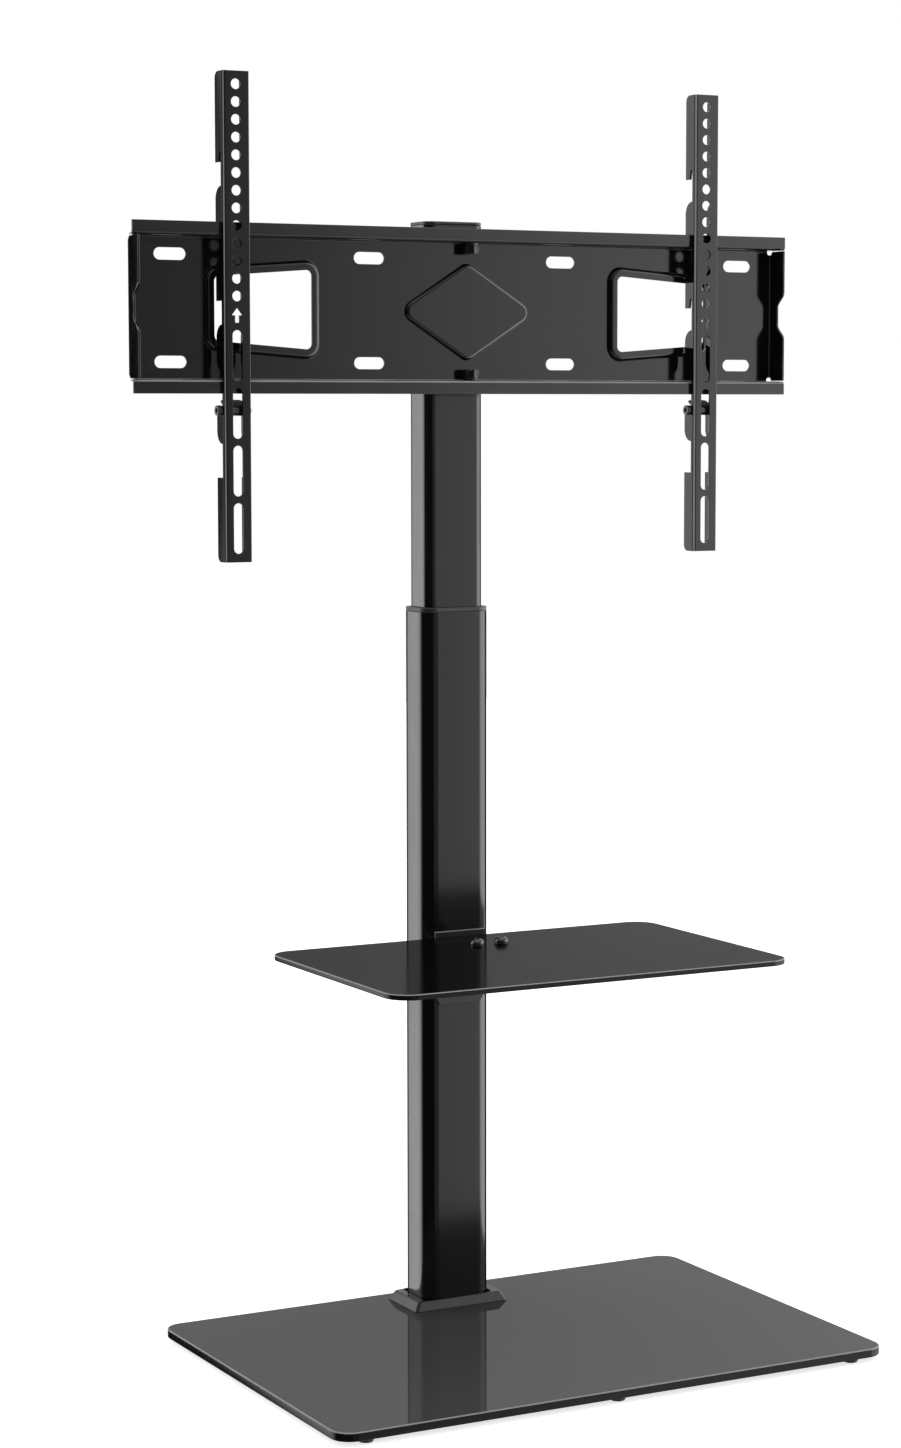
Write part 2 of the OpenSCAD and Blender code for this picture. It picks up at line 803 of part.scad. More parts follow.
// Mast, its cap and its guide plug
module mast() {
    slot_length = lock_slot_top_z - lock_slot_low_z + lock_slot_w;
    color(paint) at_column() difference() {
        translate([0, 0, mast_bottom_z])
            tube_column(mast_w, mast_d, mast_corner_r, mast_wall, mast_len);
        along_y(mast_in_d / 2 - over, mast_wall + 2 * over)
            translate([0, (lock_slot_top_z + lock_slot_low_z) / 2])
            rotate(90) slot_outline(slot_length, lock_slot_w);
        swivel_screw_places()
            round_y(0, -mast_d / 2 - over, 0, screw_d / 2 + fit_gap, mast_wall + 2 * over);
    }
}

module mast_cap() {
    color(plastic) at_column() {
        translate([0, 0, mast_top_z]) linear_extrude(cap_t)
            rounded_rect(mast_w, mast_d, mast_corner_r);
        translate([0, 0, mast_top_z - cap_plug_h])
            tube_column(mast_in_w - 2 * fit_gap, mast_in_d - 2 * fit_gap,
                mast_in_r - fit_gap, plug_wall, cap_plug_h + cap_t / 2);
    }
}

module guide_plug() {
    color(plastic) at_column() {
        translate([0, 0, mast_bottom_z - plug_flange_h]) linear_extrude(plug_flange_h)
            rounded_rect(column_in_w - 2 * slide_gap, column_in_d - 2 * slide_gap,
                column_in_r - slide_gap);
        translate([0, 0, mast_bottom_z - plug_flange_h / 2])
            tube_column(mast_in_w - 2 * fit_gap, mast_in_d - 2 * fit_gap,
                mast_in_r - fit_gap, plug_wall, plug_h + plug_flange_h / 2);
    }
}

// Swivel bracket: a bent C with one ear above and one ear below the mount plate
module swivel_screw_places() {
    for (sx = [-1, 1], sz = [-1, 1])
        translate([sx * screw_pitch_x / 2, 0, head_z + sz * swivel_screw_z]) children();
}

module swivel_side() {
    rear = -mast_d / 2;
    bend_out = swivel_bend_r + swivel_t;
    ear_front = pivot_y - pivot_ear_r;
    translate([rear - swivel_t, -ear_out_z + bend_out])
        square([swivel_t, 2 * (ear_out_z - bend_out)]);
    for (up = [0, 1]) mirror([0, up]) {
        translate([rear - bend_out, -ear_out_z + bend_out]) rotate(-90)
            bend(swivel_bend_r, swivel_t);
        translate([ear_front, -ear_out_z])
            square([rear - bend_out - ear_front, swivel_t]);
    }
}

module swivel_bracket() {
    rear = -mast_d / 2;
    color(paint) difference() {
        intersection() {
            at_head() along_x(-swivel_w / 2, swivel_w) swivel_side();
            translate([0, column_y, head_z - ear_out_z - over])
                linear_extrude(2 * ear_out_z + 2 * over) {
                    translate([0, pivot_y]) circle(pivot_ear_r);
                    polygon([
                        [-pivot_ear_r, pivot_y], [pivot_ear_r, pivot_y],
                        [swivel_w / 2, rear - swivel_t - swivel_bend_r],
                        [swivel_w / 2, rear], [-swivel_w / 2, rear],
                        [-swivel_w / 2, rear - swivel_t - swivel_bend_r]
                    ]);
                }
        }
        translate([0, column_y + pivot_y, head_z - ear_out_z - over])
            cylinder(h = 2 * ear_out_z + 2 * over, r = pivot_bolt_d / 2 + bore_gap);
        at_column() swivel_screw_places()
            round_y(0, rear - swivel_t - over, 0, screw_d / 2 + fit_gap, swivel_t + 2 * over);
    }
}

module swivel_screws() {
    color(zinc) at_column() swivel_screw_places()
        front_screw(-mast_d / 2 - swivel_t - screw_head_h,
            swivel_t + mast_wall + nut_plate_t);
}

module swivel_nut_plate() {
    plate_h = 2 * swivel_screw_z + 2 * nut_plate_margin;
    color(zinc) at_column() difference() {
        translate([-head_nut_w / 2, -mast_in_d / 2, head_z - plate_h / 2])
            cube([head_nut_w, nut_plate_t, plate_h]);
        swivel_screw_places()
            round_y(0, -mast_in_d / 2 - over, 0, screw_d / 2 + bore_gap,
                nut_plate_t + 2 * over);
    }
}

// Copies what is drawn above the mount plate's middle to below it, at the swivel axis
module at_both_pivots() {
    at_head() translate([0, pivot_y, 0]) for (down = [0, 1]) mirror([0, 0, down]) children();
}

module friction_washers() {
    color(plastic) at_both_pivots() translate([0, 0, ear_in_z - friction_washer_t])
        difference() {
            cylinder(h = friction_washer_t, r = pivot_ear_r);
            translate([0, 0, -over])
                cylinder(h = friction_washer_t + 2 * over, r = pivot_bolt_d / 2 + fit_gap);
        }
}

module pivot_bolts() {
    nut_in_z = channel_h / 2 - plate_t - pivot_gap - pivot_washer_t - pivot_nut_h;
    color(zinc) at_both_pivots() {
        translate([0, 0, nut_in_z]) cylinder(h = ear_out_z - nut_in_z, r = pivot_bolt_d / 2);
        translate([0, 0, ear_out_z]) dome(pivot_head_r, pivot_head_h);
    }
}

module pivot_washers() {
    color(zinc) at_both_pivots()
        translate([0, 0, channel_h / 2 - plate_t - pivot_gap - pivot_washer_t])
        difference() {
            cylinder(h = pivot_washer_t, r = pivot_nut_r);
            translate([0, 0, -over])
                cylinder(h = pivot_washer_t + 2 * over, r = pivot_bolt_d / 2 + fit_gap);
        }
}

module pivot_nuts() {
    color(dark_paint) at_both_pivots()
        translate([0, 0, channel_h / 2 - plate_t - pivot_gap - pivot_washer_t - pivot_nut_h])
        difference() {
            cylinder(h = pivot_nut_h, r = pivot_nut_r, $fn = 6);
            translate([0, 0, -over])
                cylinder(h = pivot_nut_h + 2 * over, r = pivot_bolt_d / 2 + bore_gap);
        }
}

// Mount plate: a channel with lips, folded ends, slots, windows and a raised diamond
module plate_side() {
    bend_out = bend_r + plate_t;
    half = channel_h / 2;
    translate([web_front_y, -half + bend_out]) square([plate_t, 2 * (half - bend_out)]);
    for (down = [0, 1]) mirror([0, down]) {
        translate([web_rear_y - bend_out, half - bend_out]) bend(bend_r, plate_t);
        translate([lip_front_y + bend_out, half - plate_t])
            square([channel_d - 2 * bend_out, plate_t]);
        translate([lip_front_y + bend_out, half + bend_r]) rotate(180) bend(bend_r, plate_t);
        translate([lip_front_y, half + bend_r]) square([plate_t, lip_h - bend_r]);
    }
}

// Corners of a window outline, drawn smaller on every side by inset
function window_points(inset) =
    let (
        slope = (window_inner_h - window_outer_h) / 2 / window_w,
        drop = inset * sqrt(1 + slope * slope),
        low_x = window_x + inset,
        high_x = window_x + window_w - inset,
        low_h = window_inner_h / 2 - slope * inset - drop,
        high_h = window_inner_h / 2 - slope * (window_w - inset) - drop
    )
    [[low_x, -low_h], [high_x, -high_h], [high_x, high_h], [low_x, low_h]];

function diamond_points(inset) =
    let (
        shrink = inset * norm([diamond_w, diamond_h]) / (diamond_w * diamond_h),
        half_w = diamond_w / 2 * (1 - 2 * shrink),
        half_h = diamond_h / 2 * (1 - 2 * shrink)
    )
    [[half_w, 0], [0, half_h], [-half_w, 0], [0, -half_h]];

module both_sides() {
    for (side = [0, 1]) mirror([side, 0, 0]) children();
}

module side_flange_outline() {
    half = side_flange_h / 2;
    front = web_rear_y - side_flange_d;
    polygon([
        [web_rear_y - bend_r - plate_t, -half], [web_rear_y - bend_r - plate_t, half],
        [front, half], [front, notch_h / 2],
        [front + notch_d, notch_flat_h / 2], [front + notch_d, -notch_flat_h / 2],
        [front, -notch_h / 2], [front, -half]
    ]);
}

module plate_sheet() {
    bend_out = bend_r + plate_t;
    trim_h = channel_h - 2 * bend_out;
    difference() {
        along_x(-plate_w / 2, plate_w) plate_side();
        both_sides() {
            translate([web_w / 2 - bend_out, web_front_y - over, -trim_h / 2])
                cube([plate_w, plate_t + 2 * over, trim_h]);
            for (sz = [-1, 1])
                round_y(web_w / 2 - bend_out, web_front_y - over,
                    sz * (side_flange_h / 2 + relief_r), relief_r, plate_t + 2 * over);
        }
    }
    both_sides() {
        translate([web_w / 2 - bend_out, web_rear_y - bend_out, -side_flange_h / 2])
            linear_extrude(side_flange_h) bend(bend_r, plate_t);
        along_x(web_w / 2 - plate_t, plate_t) side_flange_outline();
    }
}

module mount_plate() {
    color(paint) at_head() difference() {
        union() {
            plate_sheet();
            both_sides() along_y(web_front_y - rim_raise, rim_raise + plate_t / 2)
                rounded_outline(window_points(0), rim_corner_r);
            along_y(web_front_y - diamond_raise, diamond_raise + plate_t / 2)
                rounded_outline(diamond_points(0), diamond_corner_r);
        }
        both_sides() {
            along_y(web_front_y - rim_raise + plate_t, rim_raise + over)
                rounded_outline(window_points(plate_t), rim_corner_r - plate_t);
            along_y(web_front_y - rim_raise - over, rim_raise + plate_t + 2 * over)
                rounded_outline(window_points(rim_w), window_corner_r);
            for (x = [slot_inner_x / 2, slot_outer_x / 2], sz = [-1, 1])
                translate([x, 0, sz * slot_pitch_z / 2])
                along_y(web_front_y - over, plate_t + 2 * over)
                slot_outline(slot_len, slot_h);
        }
        along_y(web_front_y - diamond_raise + plate_t, diamond_raise + over)
            rounded_outline(diamond_points(plate_t), diamond_corner_r - plate_t);
        translate([0, pivot_y, -channel_h / 2 - over])
            cylinder(h = channel_h + 2 * over, r = pivot_bolt_d / 2 + bore_gap);
    }
}

// Arms. An arm is drawn from its top, with z running down as negative numbers
module arm_section() {
    bend_out = arm_bend_r + arm_t;
    translate([-arm_w / 2 + bend_out, 0]) square([arm_w - 2 * bend_out, arm_t]);
    for (side = [0, 1]) mirror([side, 0]) {
        translate([arm_w / 2 - bend_out, bend_out]) rotate(-90) bend(arm_bend_r, arm_t);
        translate([arm_w / 2 - arm_t, bend_out]) square([arm_t, arm_d - bend_out]);
    }
}

// A gap in the flanges from one distance below the top to another, where a round lobe
// ends at the gap's upper or lower edge
module lobe_gap(from, to, round_top, round_low) {
    difference() {
        translate([arm_neck_d, -to]) square([lobe_r + over, to - from]);
        if (round_top) translate([arm_neck_d, -from]) circle(lobe_r);
        if (round_low) translate([arm_neck_d, -to]) circle(lobe_r);
    }
}

module hook_gap(apex) {
    tip = apex + hook_tip_h;
    lobe_gap(tip, apex + hook_neck_len + lobe_r, false, true);
    polygon([
        [arm_neck_d, -tip - over], [arm_neck_d, -apex],
        [arm_neck_d + notch_w, -apex], [arm_neck_d + notch_mouth_w, -tip],
        [arm_neck_d + notch_mouth_w, -tip - over]
    ]);
}

module arm_side() {
    difference() {
        union() {
            square_h = arm_len - 2 * arm_corner_r;
            translate([0, -arm_len]) square([arm_d - arm_corner_r, arm_len]);
            translate([0, -arm_len + arm_corner_r]) square([arm_d, square_h]);
            for (z = [-arm_corner_r, -arm_len + arm_corner_r])
                translate([arm_d - arm_corner_r, z]) circle(arm_corner_r);
        }
        for (i = [0 : hook_count - 1]) hook_gap(hook_first + i * hook_pitch);
        lobe_gap(lobe_low, latch_lobe_top, true, false);
        lobe_gap(latch_lobe_low, shoulder, true, false);
    }
}

module arrow_outline() {
    polygon([
        [0, 0], [arrow_w / 2, -arrow_head_h], [arrow_stem_w / 2, -arrow_head_h],
        [arrow_stem_w / 2, -arrow_h], [-arrow_stem_w / 2, -arrow_h],
        [-arrow_stem_w / 2, -arrow_head_h], [-arrow_w / 2, -arrow_head_h]
    ]);
}

module arm(x) {
    last_hole = hole_first + (hole_count - 1) * hole_pitch;
    color(dark_paint) at_arm(x) difference() {
        intersection() {
            translate([0, 0, -arm_len]) linear_extrude(arm_len) arm_section();
            along_x(-arm_w / 2, arm_w) arm_side();
        }
        for (i = [0 : hole_count - 1])
            round_y(0, -over, -hole_first - i * hole_pitch, hole_d / 2, arm_t + 2 * over);
        translate([0, 0, -last_hole - hole_d / 2 - arrow_gap])
            along_y(-over, arm_t + 2 * over) arrow_outline();
        for (i = [0 : arm_slot_count - 1])
            translate([0, 0, -arm_slot_first - i * arm_slot_pitch])
            along_y(-over, arm_t + 2 * over) rotate(90) slot_outline(arm_slot_len, arm_slot_w);
        round_x(-arm_w / 2 - over, arm_d / 2, -latch_drop, latch_bolt_d / 2 + fit_gap,
            arm_w + 2 * over);
    }
}

module cross_bolt(x) {
    color(zinc) translate([x, column_y + latch_y, latch_z]) {
        rotate([0, -90, 0]) translate([0, 0, arm_w / 2]) dome(latch_head_r, latch_head_h);
        round_x(-arm_w / 2 - fit_gap, 0, 0, latch_bolt_d / 2,
            arm_w + fit_gap + latch_nut_h + bolt_tail);
    }
}

module cross_nut(x) {
    color(zinc) translate([x + arm_w / 2, column_y + latch_y, latch_z]) difference() {
        rotate([0, 90, 0]) cylinder(h = latch_nut_h, r = latch_nut_r, $fn = 6);
        round_x(-over, 0, 0, latch_bolt_d / 2 + bore_gap, latch_nut_h + 2 * over);
    }
}

// A sleeve that turns on the cross bolt, with a tongue that rises to the rear
module latch(x) {
    color(paint) translate([x, column_y + latch_y, latch_z]) difference() {
        union() {
            round_x(-latch_w / 2, 0, 0, latch_sleeve_r, latch_w);
            rotate([latch_rise, 0, 0])
                translate([0, 0, latch_sleeve_r - latch_tongue_t])
                linear_extrude(latch_tongue_t) {
                    translate([-latch_w / 2, 0])
                        square([latch_w, latch_tongue_len - latch_corner_r]);
                    translate([-latch_w / 2 + latch_corner_r, 0])
                        square([latch_w - 2 * latch_corner_r, latch_tongue_len]);
                    for (sx = [-1, 1])
                        translate([sx * (latch_w / 2 - latch_corner_r),
                            latch_tongue_len - latch_corner_r]) circle(latch_corner_r);
                }
        }
        round_x(-latch_w / 2 - over, 0, 0, latch_bolt_d / 2 + fit_gap, latch_w + 2 * over);
    }
}

module left_arm() arm(left_arm_x);
module left_cross_bolt() cross_bolt(left_arm_x);
module left_cross_nut() cross_nut(left_arm_x);
module left_latch() latch(left_arm_x);
module right_arm() arm(right_arm_x);
module right_cross_bolt() cross_bolt(right_arm_x);
module right_cross_nut() cross_nut(right_arm_x);
module right_latch() latch(right_arm_x);

base_glass();
feet();
under_gasket();
under_plate();
base_bolts();
glass_sleeves();
foot_gasket();
lower_column();
foot_collar();
guide_bush();
lock_screws();
lock_washers();
lock_nut_plate();
shelf_bracket();
bracket_screws();
shelf_nut_plate();
shelf_gasket();
shelf_glass();
shelf_bolts();
shelf_washers();
shelf_sleeves();
shelf_nuts();
mast();
mast_cap();
guide_plug();
swivel_bracket();
swivel_screws();
swivel_nut_plate();
friction_washers();
pivot_bolts();
pivot_washers();
pivot_nuts();
mount_plate();
left_arm();
left_cross_bolt();
left_cross_nut();
left_latch();
right_arm();
right_cross_bolt();
right_cross_nut();
right_latch();
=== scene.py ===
# %% [markdown]
# # A tall stand of glass and enamelled steel
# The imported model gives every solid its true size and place. This lesson dresses it: it finds
# the camera, builds the studio, mixes the finishes, and then makes each piece of the stand
# with the small edges, pressings and sockets that a plain solid lacks.
# We load the model first, because every later piece is measured from it.

# %% Load the measured model
import json
import math

import bmesh
import bpy
from mathutils import Matrix, Vector
from mathutils.geometry import delaunay_2d_cdt

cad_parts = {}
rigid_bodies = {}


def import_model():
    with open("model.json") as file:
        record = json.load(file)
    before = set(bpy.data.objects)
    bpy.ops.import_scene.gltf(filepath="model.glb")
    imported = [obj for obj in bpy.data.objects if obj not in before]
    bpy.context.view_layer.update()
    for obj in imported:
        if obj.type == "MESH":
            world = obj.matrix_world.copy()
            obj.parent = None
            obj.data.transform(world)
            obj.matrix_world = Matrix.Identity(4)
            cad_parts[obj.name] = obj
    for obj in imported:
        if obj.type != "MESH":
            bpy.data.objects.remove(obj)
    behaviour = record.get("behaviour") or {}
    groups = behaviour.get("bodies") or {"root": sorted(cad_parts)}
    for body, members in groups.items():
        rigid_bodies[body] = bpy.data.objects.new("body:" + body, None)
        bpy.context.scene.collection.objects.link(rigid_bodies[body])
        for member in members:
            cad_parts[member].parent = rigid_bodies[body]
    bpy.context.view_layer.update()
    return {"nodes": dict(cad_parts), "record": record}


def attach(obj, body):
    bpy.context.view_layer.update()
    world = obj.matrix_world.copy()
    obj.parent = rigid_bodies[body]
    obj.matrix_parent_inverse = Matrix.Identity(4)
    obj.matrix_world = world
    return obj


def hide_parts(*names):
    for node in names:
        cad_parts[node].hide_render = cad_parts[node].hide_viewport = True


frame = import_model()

MM = 0.001

# %% [markdown]
# ## The camera
# A long lens stands a little above the plate of the stand and looks slightly down, from the
# left. Its place was found by fitting known corners of the stand, so the render and the
# solids agree without moving any piece. The sensor is set by its height, because the
# picture is upright.

# %% Set up the camera
camera_place = Vector((-1.4316, -2.5522, 0.8472))
camera_turn = 28.07
camera_dip = 5.412
camera_roll = -0.068
sensor_side = 36
lens_length = 82.05

eye = bpy.data.cameras.new("eye")
eye.sensor_fit = "VERTICAL"
eye.sensor_width = sensor_side
eye.sensor_height = sensor_side
eye.lens = lens_length
camera = bpy.data.objects.new("camera", eye)
bpy.context.scene.collection.objects.link(camera)
turn = Matrix.Rotation(math.radians(-camera_turn), 4, "Z")
dip = Matrix.Rotation(math.radians(90 - camera_dip), 4, "X")
roll = Matrix.Rotation(math.radians(camera_roll), 4, "Z")
camera.matrix_world = Matrix.Translation(camera_place) @ turn @ dip @ roll
bpy.context.scene.camera = camera
bpy.context.scene.view_settings.view_transform = "Standard"
print("camera at", tuple(camera_place), "with a lens of", lens_length)

# %% [markdown]
# ## Writing shaders as sums
# A finish is a small sum of noises and masks. Blender builds such a sum from nodes, which is
# slow to read in code. The class Value wraps one socket, so that `1 - mask * 0.3` adds the
# Math nodes by itself. Colours and vectors go through Mix and Vector Math nodes, because a
# Math node would turn a colour grey. Every other node comes from the one method `node`.


# %% A value that can be written into sums
class Value:
    """One output of a shader node."""

    def __init__(self, graph, socket):
        self.graph = graph
        self.socket = socket

    def __add__(self, other):
        return self.graph.maths("ADD", self, other)

    def __sub__(self, other):
        return self.graph.maths("SUBTRACT", self, other)

    def __rsub__(self, other):
        return self.graph.maths("SUBTRACT", other, self)

    def __mul__(self, other):
        return self.graph.maths("MULTIPLY", self, other)

    __radd__ = __add__
    __rmul__ = __mul__


# %% The sheet on which the nodes are laid
class Graph:
    """A node tree with one method for every kind of node."""

    def __init__(self, tree):
        self.tree = tree
        tree.nodes.clear()

    def node(self, kind, settings=(), sockets=(), out=0):
        made = self.tree.nodes.new(kind)
        for name, value in dict(settings).items():
            setattr(made, name, value)
        for name, value in dict(sockets).items():
            if isinstance(value, Value):
                self.tree.links.new(value.socket, made.inputs[name])
            else:
                made.inputs[name].default_value = value
        return Value(self, made.outputs[out] if made.outputs else None)

    def maths(self, operation, first, second=0.0):
        return self.node("ShaderNodeMath", {"operation": operation}, {0: first, 1: second})

    def blend(self, low, high, share):
        return self.node("ShaderNodeMix", {"data_type": "RGBA"}, {0: share, 6: low, 7: high}, 2)

    def ease(self, value, start, end, low=0.0, high=1.0):
        return self.node(
            "ShaderNodeMapRange",
            {"interpolation_type": "SMOOTHSTEP"},
            {0: value, 1: start, 2: end, 3: low, 4: high},
        )

    def grain(self, place, size, detail=2.0, rough=0.5):
        return self.node(
            "ShaderNodeTexNoise",
            {"normalize": True},
            {"Vector": place, "Scale": 1 / size, "Detail": detail, "Roughness": rough},
        )


print("shader sums ready")

# %% [markdown]
# ## The studio
# Black enamel shows nothing but what stands round it, so the studio matters more than the
# paint. A tall softbox stands behind the stand at the left, with a dark strut before it, a
# panel and a brighter softbox stand in front at the right, and the side where the camera
# stands is dark. That gives a column its pale band, the black line at its corner and the
# bright band at its other side. The panels are soft windows of the direction, seen by glossy
# and transmission rays, which also see the white backdrop wherever the camera has it behind
# the stand. The panels end above the floor, so that a view from the top mirrors a pale ground
# and no lamp. The camera sees plain white, and matt surfaces get an even light, under which a
# colour renders as it is written.

# %% Find the direction of a ray in the studio
fill_light = 0.9
ceiling_light = 0.8
behind = math.radians(50)

world = bpy.data.worlds.new("studio")
bpy.context.scene.world = world
world.use_nodes = True
room = Graph(world.node_tree)
direction = room.node("ShaderNodeTexCoord")
split = room.node("ShaderNodeSeparateXYZ", (), {0: direction})
height = Value(room, split.socket.node.outputs["Z"])
along = room.node(
    "ShaderNodeVectorMath", {"operation": "DOT_PRODUCT"},
    {0: direction, 1: (math.cos(behind), math.sin(behind), 0)}, 1,
)
across = room.node(
    "ShaderNodeVectorMath", {"operation": "DOT_PRODUCT"},
    {0: direction, 1: (-math.sin(behind), math.cos(behind), 0)}, 1,
)
heading = room.maths("ARCTAN2", across, along) * math.degrees(1) + math.degrees(behind)
print("headings run from", math.degrees(behind) - 180, "to", math.degrees(behind) + 180)

# %% [markdown]
# ### The panels
# A softbox could be a lit plane, but such a plane would stand in the view from some side. A
# panel that depends on the direction alone is never in the way, and its edges can be as soft
# as the edge of a reflection on the real column.

# %% Hang the panels of the studio
# Each panel: where it starts and how soft, where it ends and how soft, in degrees from +X,
# and its light. The strut takes light away.
panels = {
    "left_softbox": (116.6, 2.7, 139, 31, 3.45),
    "softbox_strut": (121.0, 1.5, 124, 2, -2.15),
    "front_dim": (-88, 18, -78, 15, 0.35),
    "front_panel": (-54, 17, -44, 14, 2.0),
    "right_softbox": (-37, 14, -20, 60, 4.0),
    "right_fill": (20, 20, 45, 12, 0.7),
}
walls = 0.0
for start, start_soft, end, end_soft, light in panels.values():
    opens = room.ease(heading, start - start_soft, start)
    closes = room.ease(heading, end, end + end_soft, 1.0, 0.0)
    walls = opens * closes * light + walls
back = room.ease(heading, 38, 48) * room.ease(heading, 98, 112, 1.0, 0.0)
lower_back = room.ease(heading, 55, 67, 0.56, 0.30)
white_backdrop = room.ease(height, 0.115, 0.14, 1.0, 0.0) * (1 - lower_back) + lower_back
upper_back = room.ease(height, 0.16, 0.27, 0.0, 0.42)
ceiling_edge = room.ease(height, 0.14, 0.25, 0.0, 0.15)
pale_ground = room.ease(height, -0.50, -0.34, 0.5, 0.0)
panel_foot = room.ease(height, -0.75, -0.45)
walls = walls * panel_foot + back * (white_backdrop + upper_back) + ceiling_edge + pale_ground
above = room.ease(height, 0.45, 0.85)
overhead_box = room.ease(height, 0.88, 0.95, 0.0, 2.4)
seen_walls = walls * (1 - above) + above * ceiling_light + overhead_box
print("panels:", ", ".join(panels))

# %% [markdown]
# ### What each ray sees
# Light Path tells what kind of ray asks. The camera gets white, mirrors and glass get the
# panels, and every other ray gets the even light that makes colours render as written.

# %% Give each kind of ray its view of the studio
rays = room.node("ShaderNodeLightPath")
is_camera = Value(room, rays.socket.node.outputs["Is Camera Ray"])
is_glossy = Value(room, rays.socket.node.outputs["Is Glossy Ray"])
is_through = Value(room, rays.socket.node.outputs["Is Transmission Ray"])
mirrored = room.maths("MAXIMUM", is_glossy, is_through)
strength = mirrored * seen_walls + (1 - mirrored) * fill_light
strength = is_camera + (1 - is_camera) * strength
backdrop = room.node("ShaderNodeBackground", (), {"Color": (1, 1, 1, 1), "Strength": strength})
room.node("ShaderNodeOutputWorld", (), {"Surface": backdrop})
print("studio ready")

# %% [markdown]
# ## The floor
# The floor is pale and catches the soft shadow of the base. It adds a little light of its
# own for the camera alone, so that it meets the white backdrop with no line between them.
# It is stage, not part of the stand.

# %% Lay the floor and hang the overhead light
floor_half = 6.0
floor_glow = 0.72
floor_colour = (0.85, 0.85, 0.85, 1)
lamp_width = 2.4
lamp_power = 14
lamp_place = (-0.3, -0.4, 3.2)

corners = [(-1, -1), (1, -1), (1, 1), (-1, 1)]
spread = [(x * floor_half, y * floor_half, 0) for x, y in corners]
floor_mesh = bpy.data.meshes.new("floor")
floor_mesh.from_pydata(spread, [], [(0, 1, 2, 3)])
floor = bpy.data.objects.new("floor", floor_mesh)
bpy.context.scene.collection.objects.link(floor)
floor.visible_glossy = False
floor_finish = bpy.data.materials.new("pale_floor")
floor_finish.use_nodes = True
tile = Graph(floor_finish.node_tree)
matt = tile.node("ShaderNodeBsdfDiffuse", (), {"Color": floor_colour})
path = tile.node("ShaderNodeLightPath")
glow = tile.node("ShaderNodeEmission", (), {"Strength": path * floor_glow})
both = tile.node("ShaderNodeAddShader", (), {0: matt, 1: glow})
tile.node("ShaderNodeOutputMaterial", (), {"Surface": both})
floor_mesh.materials.append(floor_finish)

lamp = bpy.data.lights.new("overhead", "AREA")
lamp.shape = "DISK"
lamp.size = lamp_width
lamp.energy = lamp_power
overhead = bpy.data.objects.new("overhead", lamp)
overhead.location = lamp_place
overhead.visible_glossy = False
bpy.context.scene.collection.objects.link(overhead)
print("floor of", 2 * floor_half, "m")

# %% [markdown]
# ## Finishes
# Every finish starts from the same habits of real surfaces: the colour drifts a little over
# a hand's width, dust settles in specks, and wiping leaves faint streaks that change the gloss
# more than the colour. Sprayed enamel adds a shallow orange peel, glass adds smears, zinc
# adds crystals, rubber and nylon add a moulded grain. The glass tops have a matt print under
# them and mirror less than clear glass, so they mix a matt body with the gloss. One function
# mixes them all, and each finish only says how much of each it has. Sizes are in metres on
# the object.

# %% Name what all finishes share
drift_size = 0.09
speck_size = 0.0016
patch_size = 0.14
wipe_size = 0.004
wipe_stretch = 0.06
crystal_size = 0.0022
dust_colour = (0.30, 0.29, 0.28, 1)
bare_edge = (0.22, 0.22, 0.23, 1)
bright_zinc = (0.75, 0.76, 0.78, 1)
print("specks of", speck_size / MM, "mm, crystals of", crystal_size / MM, "mm")


# %% Mix a finish
def finish(name, colour, gloss, drift=0.15, peel=(0.0012, 0.00001), dust=0.3, streaks=0.3,
           metallic=0.0, wear=0.0, crystals=0.0, shine=1.0):
    """A material with drifting colour, dust, wipe streaks, surface relief and worn edges."""
    made = bpy.data.materials.new(name)
    made.use_nodes = True
    mix = Graph(made.node_tree)
    place = mix.node("ShaderNodeTexCoord", (), (), 3)
    slow = mix.grain(place, drift_size, 3.0)
    specks = mix.ease(mix.grain(place, speck_size, 1.0), 0.72, 0.80)
    patches = mix.ease(mix.grain(place, patch_size, 2.0), 0.35, 0.75)
    stretched = mix.node(
        "ShaderNodeMapping",
        {"vector_type": "POINT"},
        {"Vector": place, "Scale": (1.0, 1.0, wipe_stretch)},
    )
    wiped = mix.ease(mix.grain(stretched, wipe_size, 3.0), 0.45, 0.75)
    shade = 1 + (slow - 0.5) * (2 * drift)
    dark = mix.node(
        "ShaderNodeVectorMath", {"operation": "SCALE"}, {0: colour[:3], "Scale": shade}
    )
    dusted = mix.blend(dark, dust_colour, specks * patches * (0.12 * dust))
    if wear:
        edge = mix.node("ShaderNodeNewGeometry", (), (), 7)
        worn = mix.ease(edge + slow * 0.05, 0.56, 0.66) * wear
        dusted = mix.blend(dusted, bare_edge, worn)
    dull = gloss + wiped * (0.05 * streaks) + patches * (0.04 * dust) + specks * (0.2 * dust)
    relief = mix.grain(place, peel[0], 2.0)
    if crystals:
        cells = mix.node(
            "ShaderNodeTexVoronoi", {"feature": "F1"},
            {"Vector": place, "Scale": 1 / crystal_size}, 1,
        )
        tone = mix.node("ShaderNodeRGBToBW", (), {0: cells})
        dull = dull + (tone - 0.5) * crystals
        dusted = mix.blend(dusted, bright_zinc, tone * crystals)
    bump = mix.node(
        "ShaderNodeBump", (), {"Strength": 1.0, "Distance": peel[1], "Height": relief}
    )
    surface = mix.node(
        "ShaderNodeBsdfPrincipled",
        (),
        {
            "Base Color": dusted,
            "Roughness": dull,
            "Metallic": metallic,
            "IOR": 1.5,
            "Normal": bump,
        },
    )
    if shine < 1:
        matt_body = mix.node(
            "ShaderNodeBsdfPrincipled",
            (),
            {"Base Color": dusted, "Roughness": 1.0, "Specular IOR Level": 0.0},
        )
        surface = mix.node("ShaderNodeMixShader", (), {0: shine, 1: matt_body, 2: surface})
    mix.node("ShaderNodeOutputMaterial", (), {"Surface": surface})
    return made


